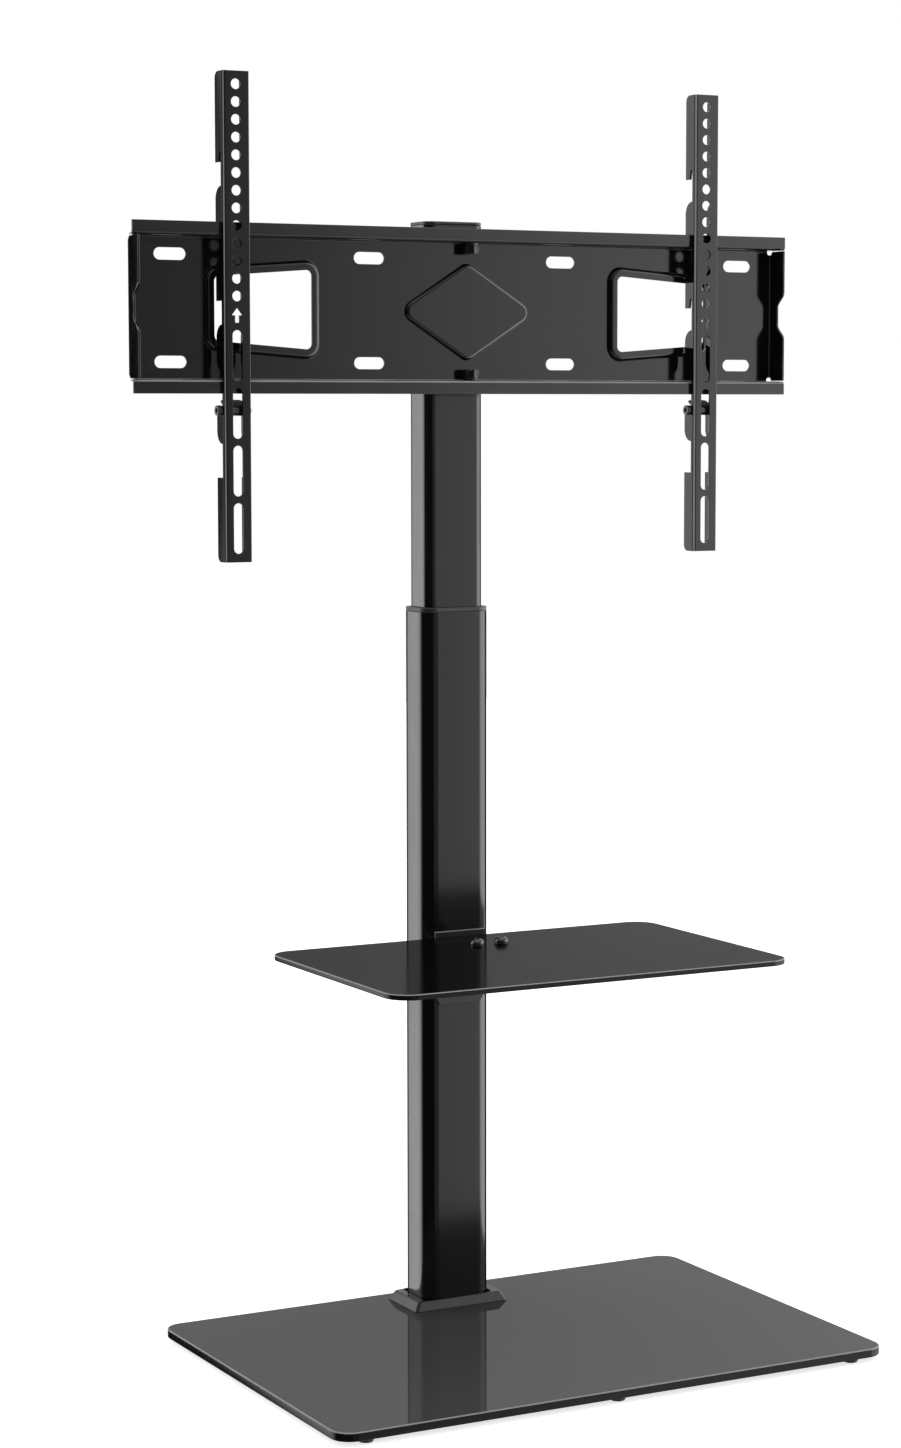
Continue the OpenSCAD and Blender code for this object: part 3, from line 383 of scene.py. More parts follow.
print("a finish can be mixed")

# %% [markdown]
# ### The finishes of this stand
# Black pieces differ mostly in gloss. The plate and the arms are smooth enamel, the tubes are a
# little softer, some folds get a shaded copy of the paint as painted shade and others a pale
# coat as a painted highlight, and the bolts in front are blackened. The fasteners at the rear
# and under the glass are bright zinc.

# %% Mix all the finishes of the stand
# Each finish: its name, colour and roughness, how far the colour drifts, the size and height of
# its relief, and how much dust and wiping it shows.
finishes = {
    "gloss_paint": finish("gloss_paint", (0.0036, 0.0036, 0.0039), 0.14, wear=0.1),
    "satin_paint": finish("satin_paint", (0.006, 0.006, 0.0065), 0.26, wear=0.15),
    "plate_paint": finish("plate_paint", (0.0032, 0.0032, 0.0034), 0.12, wear=0.12),
    "arm_paint": finish("arm_paint", (0.0032, 0.0032, 0.0034), 0.05, 0.15, (0.007, 0.000002),
                        wear=0.18),
    # A shaded copy of the black paint with almost no gloss: painted shade on folds that would
    # mirror a bright panel.
    "shaded_fold_paint": finish("shaded_fold_paint", (0.0036, 0.0036, 0.0039), 0.4, shine=0.1),
    # A pale grey coat that paints a highlight line on folds and edges.
    "painted_highlight_paint": finish("painted_highlight_paint", (0.20, 0.20, 0.195), 0.35, 0.3),
    "smoked_glass": finish("base_top_glass", (0.053, 0.054, 0.056), 0.02, 0.05,
                           (0.02, 0.000002), 0.25, 0.4, shine=0.35),
    "shelf_top_glass": finish("shelf_top_glass", (0.0022, 0.0023, 0.0025), 0.11, 0.08,
                              (0.02, 0.000002), 0.25, 0.4, shine=0.30),
    "glass_side": finish("glass_side", (0.004, 0.0045, 0.005), 0.07, 0.2,
                         (0.02, 0.000004), 0.2, 0.4, shine=0.35),
    "glass_arris": finish("ground_arris", (0.21, 0.22, 0.22), 0.42, 0.25,
                          (0.0004, 0.00001), 0.2, 0.2),
    "collar_plastic": finish("collar_plastic", (0.0125, 0.0125, 0.013), 0.22, 0.1,
                             (0.0006, 0.000012), 0.4, shine=0.75),
    "plastic": finish("moulded_nylon", (0.012, 0.012, 0.012), 0.42, 0.1, (0.0004, 0.00002), 0.4),
    "rubber": finish("black_rubber", (0.014, 0.014, 0.014), 0.72, 0.15, (0.0005, 0.00004), 0.8),
    "steel": finish("zinc_steel", (0.50, 0.51, 0.53), 0.30, 0.06, (0.0008, 0.00001), 0.2, 0.3,
                    1.0, 0.0, 0.14),
    "black_steel": finish("black_oxide", (0.006, 0.006, 0.0065), 0.22, 0.2, (0.0005, 0.00001),
                          0.3, 0.3, 0.0, 0.25),
}
print("finishes:", ", ".join(finishes))

# %% [markdown]
# ## From solid to piece
# Real sheet metal and glass have no sharp edge. A copy of a solid gets its split corners
# welded, the flat faces joined, and then a small round on every edge, which is what catches
# the light. The copy stands for its solid, rides on the same body and gets the finish of the
# solid's slot, unless it is given another.

# %% How a made piece joins the stand
weld = 0.000002
body_of = {
    node: body
    for body, members in frame["record"]["behaviour"]["bodies"].items()
    for node in members
}
slot_of = {row["node"]: row["material_slot"] for row in frame["record"]["subparts"]}


def placed(name, shape, node, coats=None, smooth=38, slot=None):
    """Turns a mesh under work into the piece that stands for a node."""
    slot = slot or slot_of[node]
    bmesh.ops.recalc_face_normals(shape, faces=shape.faces[:])
    mesh = bpy.data.meshes.new(name)
    shape.to_mesh(mesh)
    shape.free()
    for coat in coats or [slot]:
        mesh.materials.append(finishes[coat])
    for face in mesh.polygons:
        face.use_smooth = True
    mesh.set_sharp_from_angle(angle=math.radians(smooth))
    made = bpy.data.objects.new(name, mesh)
    bpy.context.scene.collection.objects.link(made)
    even = made.modifiers.new("even_shading", "WEIGHTED_NORMAL")
    even.keep_sharp = True
    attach(made, body_of[node])
    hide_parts(node)
    return made


def rounded_edges(shape, width, steps, sharp):
    """Rounds each edge whose faces meet at more than the given angle."""
    edges = [
        e for e in shape.edges
        if len(e.link_faces) == 2 and e.calc_face_angle(0) > math.radians(sharp)
    ]
    bmesh.ops.bevel(
        shape, geom=edges, offset=width, offset_type="OFFSET", segments=steps,
        profile=0.5, affect="EDGES", clamp_overlap=False,
    )


def softened(node, width, steps=2, sharp=35):
    """A welded copy of a node's mesh with its edges rounded."""
    shape = bmesh.new()
    shape.from_mesh(frame["nodes"][node].data)
    bmesh.ops.remove_doubles(shape, verts=shape.verts[:], dist=weld)
    bmesh.ops.dissolve_limit(
        shape, angle_limit=math.radians(1.0), verts=shape.verts[:], edges=shape.edges[:]
    )
    rounded_edges(shape, width, steps, sharp)
    return shape


print("nodes with a body:", len(body_of))

# %% [markdown]
# ## The glass
# The base is 8 mm and the shelf 5 mm of black tempered glass. Flat faces and sides are
# polished and look nearly black, while the sharp upper edge is ground away and left pale.
# That pale line is what makes a slab read as glass, so the rounding of the upper edge gets
# the ground finish and the sides get the dark one.

# %% Cut the base glass and the shelf glass
flat_top, glass_edge, ground_edge = 0, 1, 2
nearly_flat = 0.999
leans_up = 0.2
for node, width, top_coat in (
    ("base_glass", 1.0 * MM, "smoked_glass"),
    ("shelf_glass", 0.8 * MM, "shelf_top_glass"),
):
    slab = softened(node, width, 3)
    for face in slab.faces:
        face.normal_update()
        rise = face.normal.z
        if abs(rise) > nearly_flat:
            face.material_index = flat_top
        else:
            face.material_index = ground_edge if rise > leans_up else glass_edge
    placed(node + "_slab", slab, node, [top_coat, "glass_side", "glass_arris"])
    print(node, "rounded by", width / MM, "mm")

# %% [markdown]
# ## Outlines with round corners
# Slots, windows and the diamond are all rounded outlines. We describe one by the centres of
# its corners and the directions of their arcs. A larger radius on the same centres then
# gives the next outline outwards with the same number of points, so two of them can be
# joined by plain quads.


# %% Draw rounded outlines
def arcs_of(centres, steps=8):
    """Points of a rounded outline: corner centre and direction, anticlockwise."""
    found = []
    for i, here in enumerate(centres):
        before = centres[i - 1]
        after = centres[(i + 1) % len(centres)]
        start = math.atan2(before[0] - here[0], here[1] - before[1])
        end = math.atan2(here[0] - after[0], after[1] - here[1])
        sweep = (end - start) % (2 * math.pi)
        for k in range(steps + 1):
            angle = start + sweep * k / steps
            found.append((here[0], here[1], math.cos(angle), math.sin(angle)))
    return found


def circle_of(x, y, steps=32):
    """The same for a round hole."""
    angles = [2 * math.pi * k / steps for k in range(steps)]
    return [(x, y, math.cos(a), math.sin(a)) for a in angles]


def ring(arcs, radius):
    """The outline itself at one radius."""
    return [(x + radius * dx, y + radius * dy) for x, y, dx, dy in arcs]


def inside(point, outline):
    """Whether a flat point lies within an outline."""
    crossings = 0
    for a, b in zip(outline, outline[1:] + outline[:1]):
        if (a[1] > point[1]) != (b[1] > point[1]):
            share = (point[1] - a[1]) / (b[1] - a[1])
            crossings += point[0] < a[0] + share * (b[0] - a[0])
    return crossings % 2 == 1


slot_arcs = arcs_of([(-9.9, 0), (9.9, 0)])
print("a slot outline has", len(slot_arcs), "points")

# %% [markdown]
# ## A bent sheet
# A pressed plate has the same thickness everywhere, which is hard to keep if front and back
# are modelled apart. We lay out the middle surface only: flat fields with holes, and strips
# for bends and shoulders. Each point also knows which way is out. The sheet then gets its
# thickness in one go, half to each side, and the free edges are closed by rims.


# %% The sheet before it gets its thickness
class Sheet:
    """A bent sheet as one middle surface, in millimetres."""

    def __init__(self):
        self.middle = []
        self.outward = []
        self.faces = []
        self.known = {}

    def point(self, place, outward):
        key = tuple(round(c, 2) for c in place)
        if key not in self.known:
            self.known[key] = len(self.middle)
            self.middle.append(Vector(place))
            self.outward.append(Vector(outward).normalized())
        return self.known[key]

    def field(self, outline, holes, lift):
        """Fills a flat outline round its holes; lift gives each point its place and side."""
        spots = list(outline)
        edges = [(i, (i + 1) % len(outline)) for i in range(len(outline))]
        for hole in holes:
            first = len(spots)
            spots += hole
            edges += [(first + i, first + (i + 1) % len(hole)) for i in range(len(hole))]
        found = delaunay_2d_cdt([Vector(s) for s in spots], edges, [], 0, 0.0001)
        for face in found[2]:
            own = [spots[found[3][i][0]] for i in face]
            centre = [sum(s[axis] for s in own) / len(own) for axis in (0, 1)]
            if inside(centre, outline) and not any(inside(centre, h) for h in holes):
                self.faces.append([self.point(*lift(*s)) for s in own])

    def strip(self, rows, closed=False):
        """Joins rows of equal length by quads."""
        rows = [[self.point(*p) for p in row] for row in rows]
        for here, after in zip(rows, rows[1:]):
            for i in range(len(here) if closed else len(here) - 1):
                j = (i + 1) % len(here)
                self.faces.append([here[i], here[j], after[j], after[i]])

    def thick(self, thickness, origin):
        """The closed solid, with its origin at the given place."""
        shape = bmesh.new()
        sides = []
        for sign in (0.5, -0.5):
            sides.append([
                shape.verts.new((origin + m + o * (sign * thickness)) * MM)
                for m, o in zip(self.middle, self.outward)
            ])
        used = {}
        for face in self.faces:
            shape.faces.new([sides[0][i] for i in face])
            shape.faces.new([sides[1][i] for i in reversed(face)])
            for a, b in zip(face, face[1:] + face[:1]):
                used.setdefault(frozenset((a, b)), []).append((a, b))
        for uses in used.values():
            if len(uses) == 1:
                a, b = uses[0]
                shape.faces.new([sides[0][b], sides[0][a], sides[1][a], sides[1][b]])
        return shape


print("sheets ready")

# %% [markdown]
# ## The mount plate
# The plate is a channel of 2 mm steel with lips turned outwards, folded ends, eight slots,
# two windows and a raised diamond. A press gives the windows and the diamond a rounded
# shoulder, which shows as a dark band on one side and a bright line on the other. We draw a
# shoulder as two arcs, a tight one at the foot and a wide one at the top, so that the
# reflection runs over it as it does on the real plate.

# %% Measures of the mount plate
plate_origin = Vector((0, 140.5, 936.7))
sheet_t = 2.0
web_y = -38.7
web_x = 327.5
web_z = 60.6
bend_r = 2.0
plate_x = 333.49
tuck_x = 329.4
flange_z = web_z + bend_r
flange_y = -54.8
lip_y = flange_y - bend_r
lip_z = 74.0
end_x = web_x + bend_r
end_y = -62.1
end_z = 61.0
relief = (327.5, 60.2, 2.2)
fold_z = 58.0
bend_steps = 5
bite_steps = 6
pivot_y = -47.6
pivot_r = 4.05
steep = math.radians(86)


def on_web(x, z):
    return (x, web_y, z), (0, -1, 0)


def shoulder(arcs, foot, rise, tight, steps=7):
    """Rows from the foot of a pressed shoulder to its flat top."""
    wide = rise / (1 - math.cos(steep)) - tight
    top = foot - (tight + wide) * math.sin(steep)
    path = []
    for k in range(steps + 1):
        tilt = steep * k / steps
        path.append((foot - tight * math.sin(tilt), tight * (1 - math.cos(tilt)), tilt))
    for k in range(1, steps + 1):
        tilt = steep * (1 - k / steps)
        path.append((top + wide * math.sin(tilt), rise - wide * (1 - math.cos(tilt)), tilt))
    rows = []
    for reach, lift, tilt in path:
        rows.append([
            (
                (x + reach * dx, web_y - lift, z + reach * dz),
                (dx * math.sin(tilt), -math.cos(tilt), dz * math.sin(tilt)),
            )
            for x, z, dx, dz in arcs
        ])
    return rows


print("web at", web_y, "lips to", lip_z)

# %% [markdown]
# ### Openings
# The slots let screws through. The windows are pressed up round their rims, which keeps the
# sheet stiff there, and the diamond stiffens the middle. Each opening leaves a hole of its
# outer outline in the flat web, and the pressing fills that hole.

# %% Draw the openings of the mount plate
plate = Sheet()
cuts = []
slot_r = 5.3
slot_z = 46.55
inner_x, outer_x = 98.4, 291.1
for x in (-outer_x, -inner_x, inner_x, outer_x):
    for z in (-slot_z, slot_z):
        arcs = [(x + ax, z + az, dx, dz) for ax, az, dx, dz in slot_arcs]
        cuts.append(ring(arcs, slot_r))

window_low, window_high = 148.0, 260.5
window_tall, window_short = 45.0, 36.5
window_foot, window_open = 14.2, 5.0
window_rise, window_tight = 4.3, 1.7
slope = (window_tall - window_short) / (window_high - window_low)
tuck = window_foot * math.hypot(1, slope)
near_x = window_low + window_foot
far_x = window_high - window_foot
near_z = window_tall - slope * window_foot - tuck
far_z = window_tall - slope * (far_x - window_low) - tuck
for side in (-1, 1):
    corners = [(side * near_x, -near_z), (side * far_x, -far_z),
               (side * far_x, far_z), (side * near_x, near_z)]
    arcs = arcs_of(corners if side > 0 else corners[::-1])
    rows = shoulder(arcs, window_foot, window_rise, window_tight)
    cuts.append(ring(arcs, window_foot))
    rows.append([
        ((x + window_open * dx, web_y - window_rise, z + window_open * dz), (0, -1, 0))
        for x, z, dx, dz in arcs
    ])
    plate.strip(rows, closed=True)

diamond_x, diamond_z = 53.0, 33.3
diamond_foot, diamond_rise, diamond_tight = 10.4, 3.6, 1.3
arcs = arcs_of([(diamond_x, 0), (0, diamond_z), (-diamond_x, 0), (0, -diamond_z)])
rows = shoulder(arcs, diamond_foot, diamond_rise, diamond_tight)
cuts.append(ring(arcs, diamond_foot))
plate.strip(rows, closed=True)
plate.faces.append([plate.point(*p) for p in rows[-1]])
print("openings and pressings:", len(cuts))

# %% [markdown]
# ### Bends
# The web is one flat field with all the holes in it. At each corner a small bite frees the
# bends from each other, as a punch does before the sheet is folded. A bend is a strip between
# two flat fields, drawn as a quarter circle.

# %% Bend the web, the flanges and the lips
bite_x = web_x - math.sqrt(relief[2] ** 2 - (web_z - relief[1]) ** 2)
bite = []
start = math.radians(270)
end = math.atan2(web_z - relief[1], bite_x - web_x)
for k in range(bite_steps + 1):
    angle = start + (end - start) * k / bite_steps
    x = relief[0] + relief[2] * math.cos(angle)
    z = relief[1] + relief[2] * math.sin(angle)
    bite.append((x, z))
bite[0] = (web_x, fold_z)
bite[-1] = (bite_x, web_z)
outline = list(bite)
outline += [(-x, z) for x, z in reversed(bite)]
outline += [(-x, -z) for x, z in bite]
outline += [(x, -z) for x, z in reversed(bite)]
plate.field(outline, cuts, on_web)

for side in (-1, 1):
    rows = []
    for k in range(bend_steps + 1):
        angle = math.radians(90 * k / bend_steps)
        y = web_y - bend_r + bend_r * math.cos(angle)
        z = side * (web_z + bend_r * math.sin(angle))
        away = (0, -math.cos(angle), -side * math.sin(angle))
        rows.append([((-bite_x, y, z), away), ((bite_x, y, z), away)])
    plate.strip(rows)

    start_y = web_y - bend_r
    outline = [(-tuck_x, start_y), (-bite_x, start_y), (bite_x, start_y), (tuck_x, start_y),
               (plate_x, flange_y), (-plate_x, flange_y)]
    pivot_hole = ring(circle_of(0, pivot_y), pivot_r)
    plate.field(outline, [pivot_hole], lambda x, y: ((x, y, side * flange_z), (0, 0, -side)))

    rows = []
    for k in range(bend_steps + 1):
        angle = math.radians(90 * k / bend_steps)
        y = flange_y - bend_r * math.sin(angle)
        z = side * (flange_z + bend_r * (1 - math.cos(angle)))
        away = (0, -math.sin(angle), -side * math.cos(angle))
        rows.append([((-plate_x, y, z), away), ((plate_x, y, z), away)])
    rows.append([((x, lip_y, side * lip_z), (0, -1, 0)) for x in (-plate_x, plate_x)])
    plate.strip(rows)
print("lips stand at", lip_y)

# %% [markdown]
# ### Ends and thickness
# The ends are folded forwards too, with a wide notch in their free edge. When the middle
# surface is complete, it gets its two millimetres, and each face gets its coat by its place
# and by the way it faces. The lower bend, facing up and forwards, gets a pale coat, a painted
# highlight line along it.

# %% Fold the ends of the plate and give it its thickness
notch_deep, notch_open, notch_floor = 10.3, 21.5, 8.5
notch_steps = 24
plain, sharp_gloss, painted_highlight_line = 0, 1, 2
notch = []
for k in range(notch_steps + 1):
    z = notch_open * (1 - 2 * k / notch_steps)
    share = min(1, (notch_open - abs(z)) / (notch_open - notch_floor))
    notch.append((end_y + notch_deep * share * share * (3 - 2 * share), z))
for side in (-1, 1):
    rows = []
    for k in range(bend_steps + 1):
        angle = math.radians(90 * k / bend_steps)
        x = side * (web_x + bend_r * math.sin(angle))
        y = web_y - bend_r + bend_r * math.cos(angle)
        away = (-side * math.sin(angle), -math.cos(angle), 0)
        rows.append([((x, y, -fold_z), away), ((x, y, fold_z), away)])
    plate.strip(rows)
    start_y = web_y - bend_r
    outline = [(start_y, -fold_z), (start_y, fold_z), (start_y - 1.0, end_z - 1.2),
               (start_y - 2.2, end_z), (end_y + 0.5, end_z), (end_y, end_z - 0.5)]
    outline += notch
    outline += [(end_y, 0.5 - end_z), (end_y + 0.5, -end_z), (start_y - 2.2, -end_z),
                (start_y - 1.0, 1.2 - end_z)]
    plate.field(outline, [], lambda y, z: ((side * end_x, y, z), (-side, 0, 0)))

solid = plate.thick(sheet_t, plate_origin)
bmesh.ops.recalc_face_normals(solid, faces=solid.faces[:])
open_edges = [e for e in solid.edges if len(e.link_faces) != 2]
rounded_edges(solid, 0.3 * MM, 2, 60)
web_margin = 8
lower_bend = sheet_t - flange_z
for face in solid.faces:
    face.normal_update()
    spot = face.calc_center_median() / MM - plate_origin
    facing = face.normal
    on_end = abs(spot.x) > end_x and abs(facing.x) > 0.7
    in_web = abs(spot.x) < web_x - web_margin and abs(spot.z) < web_z - web_margin
    pressed = in_web and abs(facing.y) < 0.97
    # The lower bend, facing up and forwards, gets the pale coat: a painted highlight line along
    # it.
    on_bend = spot.z < lower_bend and 0.25 < facing.z < 0.85 and facing.y < -0.4
    face.material_index = plain
    if on_end or pressed:
        face.material_index = sharp_gloss
    elif on_bend:
        face.material_index = painted_highlight_line
made = placed(
    "mount_plate_pressed", solid, "mount_plate", ["plate_paint", "arm_paint", "painted_highlight_paint"]
)
print("mount plate:", len(made.data.polygons), "faces, open edges", len(open_edges))

# %% [markdown]
# ## The enamelled steel
# The column, the mast, the brackets and the arms keep the shape of their solids. They only
# need the small rounds that bending, sawing and punching leave. Two places are drawn more
# closely: the right fold of an arm is tighter than its left one, so it catches no bright
# strip, and the shelf bracket ends in a lip that stands a little over the glass; the top of
# that lip gets a pale coat, a painted highlight. Some folds get a shaded copy of the paint
# with almost no gloss, which is painted shade, and others get the pale coat as a painted
# highlight line, so a fold may get its own coat, chosen by the heading of its normal.


# %% Reshape the arms and the shelf bracket
fold_r = 2.6
fold_inner = 0.6
fold_tight = 0.3
bracket_top = 364.5
bracket_lip = 3.0


def tighter_fold(shape):
    """Draws the outer round of an arm's right fold towards its corner."""
    right = max(v.co.x for v in shape.verts) / MM
    front = min(v.co.y for v in shape.verts) / MM
    corner = Vector((right, front))
    middle = corner + Vector((-fold_r, fold_r))
    for vert in shape.verts:
        spot = Vector((vert.co.x, vert.co.y)) / MM
        reach = (spot - middle).length
        if reach > fold_inner and spot.x > middle.x and spot.y < middle.y:
            share = min(1, (reach - fold_inner) / (fold_r - fold_inner))
            drawn = corner + (spot - corner) * fold_tight
            spot = spot.lerp(drawn, share)
            vert.co.x, vert.co.y = spot * MM


def taller_lip(shape):
    """Lifts the upper edge of the shelf bracket."""
    for vert in shape.verts:
        if vert.co.z > bracket_top * MM:
            vert.co.z += bracket_lip * MM


def as_it_is(shape):
    """Leaves the shape alone."""


print("fold drawn in to", fold_r * fold_tight, "mm")

# %% Round the painted steel pieces
# A fold's coat is given for a stretch of headings of the normal, in degrees from +X. Stretches
# marked dull get the shaded copy of the paint, which is painted shade, and the others get the
# pale coat, which paints a highlight line. That line on the right arm shows brighter, so its
# stretch of pale coat is wider.
dull, painted_highlight = 1, 2
upright = 0.3
tube_folds = {(95, 172): dull, (306, 358): dull}
left_arm_folds = {(183, 213): dull, (213, 237): painted_highlight}
right_arm_folds = {(183, 204): dull, (204, 246): painted_highlight}
for node, width, reshape, folds in (
    ("lower_column", 0.4, as_it_is, tube_folds),
    ("mast", 0.4, as_it_is, tube_folds),
    ("shelf_bracket", 0.5, taller_lip, {}),
    ("swivel_bracket", 0.25, as_it_is, {}),
    ("left_arm", 0.3, tighter_fold, left_arm_folds),
    ("right_arm", 0.3, tighter_fold, right_arm_folds),
    ("left_latch", 0.25, as_it_is, {}),
    ("right_latch", 0.25, as_it_is, {}),
):
    shape = softened(node, width * MM)
    reshape(shape)
    for face in shape.faces:
        face.normal_update()
        rise = face.normal.z
        faces_to = math.degrees(math.atan2(face.normal.y, face.normal.x)) % 360
        face.material_index = plain
        for (low, high), coat in folds.items():
            if abs(rise) < upright and low < faces_to < high:
                face.material_index = coat
        # The top of the bracket's lip gets the pale coat: a painted highlight along its upper
        # edge.
        on_top = face.calc_center_median().z > bracket_top * MM
        if reshape == taller_lip and on_top and rise > upright:
            face.material_index = painted_highlight
    coats = [slot_of[node], "shaded_fold_paint", "painted_highlight_paint"]
    made = placed(node + "_sheet", shape, node, coats)
    print(made.name, len(made.data.polygons), "faces")

# %% [markdown]
# ## The moulded pieces
# The cap on the mast, the bush in the column and the plug at the lower end of the mast are
# moulded nylon. A mould leaves wider rounds than a saw or a punch, so these get three steps.

# %% Round the moulded pieces
for node, width in (
    ("mast_cap", 0.9 * MM),
    ("guide_bush", 0.8 * MM),
    ("guide_plug", 0.4 * MM),
):
    made = placed(node + "_moulded", softened(node, width, 3), node)
    print(made.name, len(made.data.polygons), "faces")

# %% [markdown]
# ## The collar at the foot of the column
# A moulded cover hides the screws that hold the column. It is a low frustum: its sides lean
# in, its top is flat beside the column and nearly nothing in front of it. We draw it as a
# closed run of rounded rectangles, from the outer foot over the top and down inside.


# %% Mould the collar
def box_ring(shape, half_x, half_y, radius, middle_y, z):
    """One rounded rectangle of vertices."""
    a, b = half_x - radius, half_y - radius
    arcs = arcs_of([(a, -b), (a, b), (-a, b), (-a, -b)], 4)
    return [shape.verts.new(Vector((x, y + middle_y, z)) * MM) for x, y in ring(arcs, radius)]


collar = bmesh.new()
outer_y, column_y = 139.5, 140.5
profile = [
    (48.5, 29.0, 3.0, outer_y, 13.0),
    (48.5, 29.0, 3.0, outer_y, 13.8),
    (48.2, 28.7, 3.0, outer_y, 14.4),
    (44.1, 25.2, 3.0, outer_y, 21.2),
    (43.8, 24.9, 3.0, outer_y, 21.6),
    (43.3, 24.5, 3.0, outer_y, 21.9),
    (42.8, 24.2, 3.0, outer_y, 22.0),
    (35.8, 24.8, 6.0, column_y, 22.0),
    (35.5, 24.5, 6.0, column_y, 21.7),
    (35.5, 24.5, 6.0, column_y, 19.5),
    (44.4, 25.4, 4.0, column_y, 19.5),
    (44.4, 25.4, 4.0, column_y, 13.0),
]
rings = [box_ring(collar, *row) for row in profile]
for here, after in zip(rings, rings[1:] + rings[:1]):
    for i in range(len(here)):
        j = (i + 1) % len(here)
        collar.faces.new([here[i], here[j], after[j], after[i]])
made = placed("foot_collar_cover", collar, "foot_collar", None, 50)
print("collar:", len(made.data.polygons), "faces")

# %% [markdown]
# ## Turned pieces
# Bolts, nuts, screws and feet are bodies of revolution, some cut to a hexagon. Each solid of
# the model tells where such a piece stands and how large it is, so we find the separate
# solids of a node and turn a profile in each box. A row of the profile is a height and a
# radius, and a third number is the half width of a hexagon that cuts it. A thread is a run
# of ridges.


# %% Find the separate solids of a node
def solids_of(node):
    """The lowest and highest corner of each solid of a node, in millimetres."""
    shape = bmesh.new()
    shape.from_mesh(frame["nodes"][node].data)
    shape.transform(frame["nodes"][node].matrix_world)
    bmesh.ops.remove_doubles(shape, verts=shape.verts[:], dist=weld)
    waiting = set(shape.verts)
    found = []
    while waiting:
        group = []
        queue = [waiting.pop()]
        while queue:
            here = queue.pop()
            group.append(here.co / MM)
            for edge in here.link_edges:
                other = edge.other_vert(here)
                if other in waiting:
                    waiting.remove(other)
                    queue.append(other)
        low = Vector([min(p[axis] for p in group) for axis in range(3)])
        high = Vector([max(p[axis] for p in group) for axis in range(3)])
        found.append((low, high))
    shape.free()
    return sorted(found, key=lambda box: tuple(box[0]))


# %% Turn a profile about an axis
def turned(shape, place, axis, rows, steps=36, bored=False):
    """A turned piece in millimetres, from a place along an axis, solid or with a bore."""
    stand = Vector(axis).to_track_quat("Z", "Y").to_matrix()
    rings = []
    for height, radius, *flats in rows:
        loop = []
        for k in range(steps):
            angle = 2 * math.pi * k / steps
            reach = radius
            if flats:
                folded = (angle + math.pi / 6) % (math.pi / 3) - math.pi / 6
                reach = min(radius, flats[0] / math.cos(folded))
            spot = Vector((reach * math.cos(angle), reach * math.sin(angle), height))
            loop.append(shape.verts.new((Vector(place) + stand @ spot) * MM))
        rings.append(loop)
    if bored:
        rings.append(rings[0])
    for here, after in zip(rings, rings[1:]):
        for i in range(steps):
            j = (i + 1) % steps
            shape.faces.new([here[i], here[j], after[j], after[i]])
    if not bored:
        shape.faces.new(rings[0][::-1])
        shape.faces.new(rings[-1])


def thread(low, high, radius, pitch=1.0):
    """Ridges between two heights."""
    rows = []
    count = int((high - low) / pitch)
    for k in range(count):
        rows.append((low + k * pitch, radius))
        rows.append((low + (k + 0.5) * pitch, radius - 0.32 * pitch))
    return rows


dome = math.radians(62)


def button_head(low, height, radius, key):
    """A domed head with a hexagon socket."""
    rows = [(low, radius - 0.25), (low + 0.12, radius - 0.05), (low + 0.5, radius)]
    for k in range(1, 9):
        angle = dome * k / 8
        climb = (height - 0.5) * math.sin(angle) / math.sin(dome)
        rows.append((low + 0.5 + climb, radius * math.cos(angle)))
    top = low + height
    rows += [(top, key + 0.55), (top - 0.12, key + 0.25), (top - 0.4, key * 2, key),
             (top - 0.55 * height, key * 2, key), (top - 0.62 * height, 0.5 * key)]
    return rows


print("turning tools ready")

# %% [markdown]
# ## Bolts and nuts
# Two domed bolts hold the shelf, and two more are the pivot of the plate. On a black dome the
# only thing to see is one small light and the rim of the socket, so the dome has eight steps
# and the socket a chamfer. The nuts are hexagons whose corners are turned off.

# %% Turn the bolts of the shelf
head_seat = 364.3
head_high, head_r, head_key = 5.2, 6.5, 2.0
shelf_bolts = bmesh.new()
for low, high in solids_of("shelf_bolts"):
    x, y = (low.x + high.x) / 2, (low.y + high.y) / 2
    under = head_seat - low.z
    rows = [(0.0, 2.2), (0.5, 2.8)] + thread(0.6, 8.0, 3.0) + [(8.2, 3.0), (under, 3.0)]
    rows += button_head(under, head_high, head_r, head_key)
    turned(shelf_bolts, (x, y, low.z), (0, 0, 1), rows)
made = placed("shelf_bolts_domed", shelf_bolts, "shelf_bolts", None, 40, "black_steel")
print("shelf bolts:", len(made.data.polygons), "faces")


# %% Turn the nuts
def nut(shape, place, axis, thick, flats, bore):
    """A hexagon nut with chamfered corners and a bore."""
    corner = flats / math.cos(math.radians(30))
    soft = 0.16 * flats
    rows = [
        (0.3, bore), (0.0, bore + 0.3), (0.0, flats * 0.94), (soft * 0.5, corner * 0.96, flats),
        (soft, corner, flats), (thick - soft, corner, flats),
        (thick - soft * 0.5, corner * 0.96, flats), (thick, flats * 0.94),
        (thick, bore + 0.3), (thick - 0.3, bore),
    ]
    turned(shape, place, axis, rows, bored=True)


shelf_nuts = bmesh.new()
for low, high in solids_of("shelf_nuts"):
    x, y = (low.x + high.x) / 2, (low.y + high.y) / 2
    nut(shelf_nuts, (x, y, low.z), (0, 0, 1), high.z - low.z, 5.0, 3.05)
placed("shelf_nuts_cut", shelf_nuts, "shelf_nuts", None, 30)

pivot_nuts = bmesh.new()
for low, high in solids_of("pivot_nuts"):
    x, y = (low.x + high.x) / 2, (low.y + high.y) / 2
    nut(pivot_nuts, (x, y, low.z), (0, 0, 1), high.z - low.z, 6.5, 4.05)
made = placed("pivot_nuts_cut", pivot_nuts, "pivot_nuts", None, 30)
print("pivot nuts:", len(made.data.polygons), "faces")

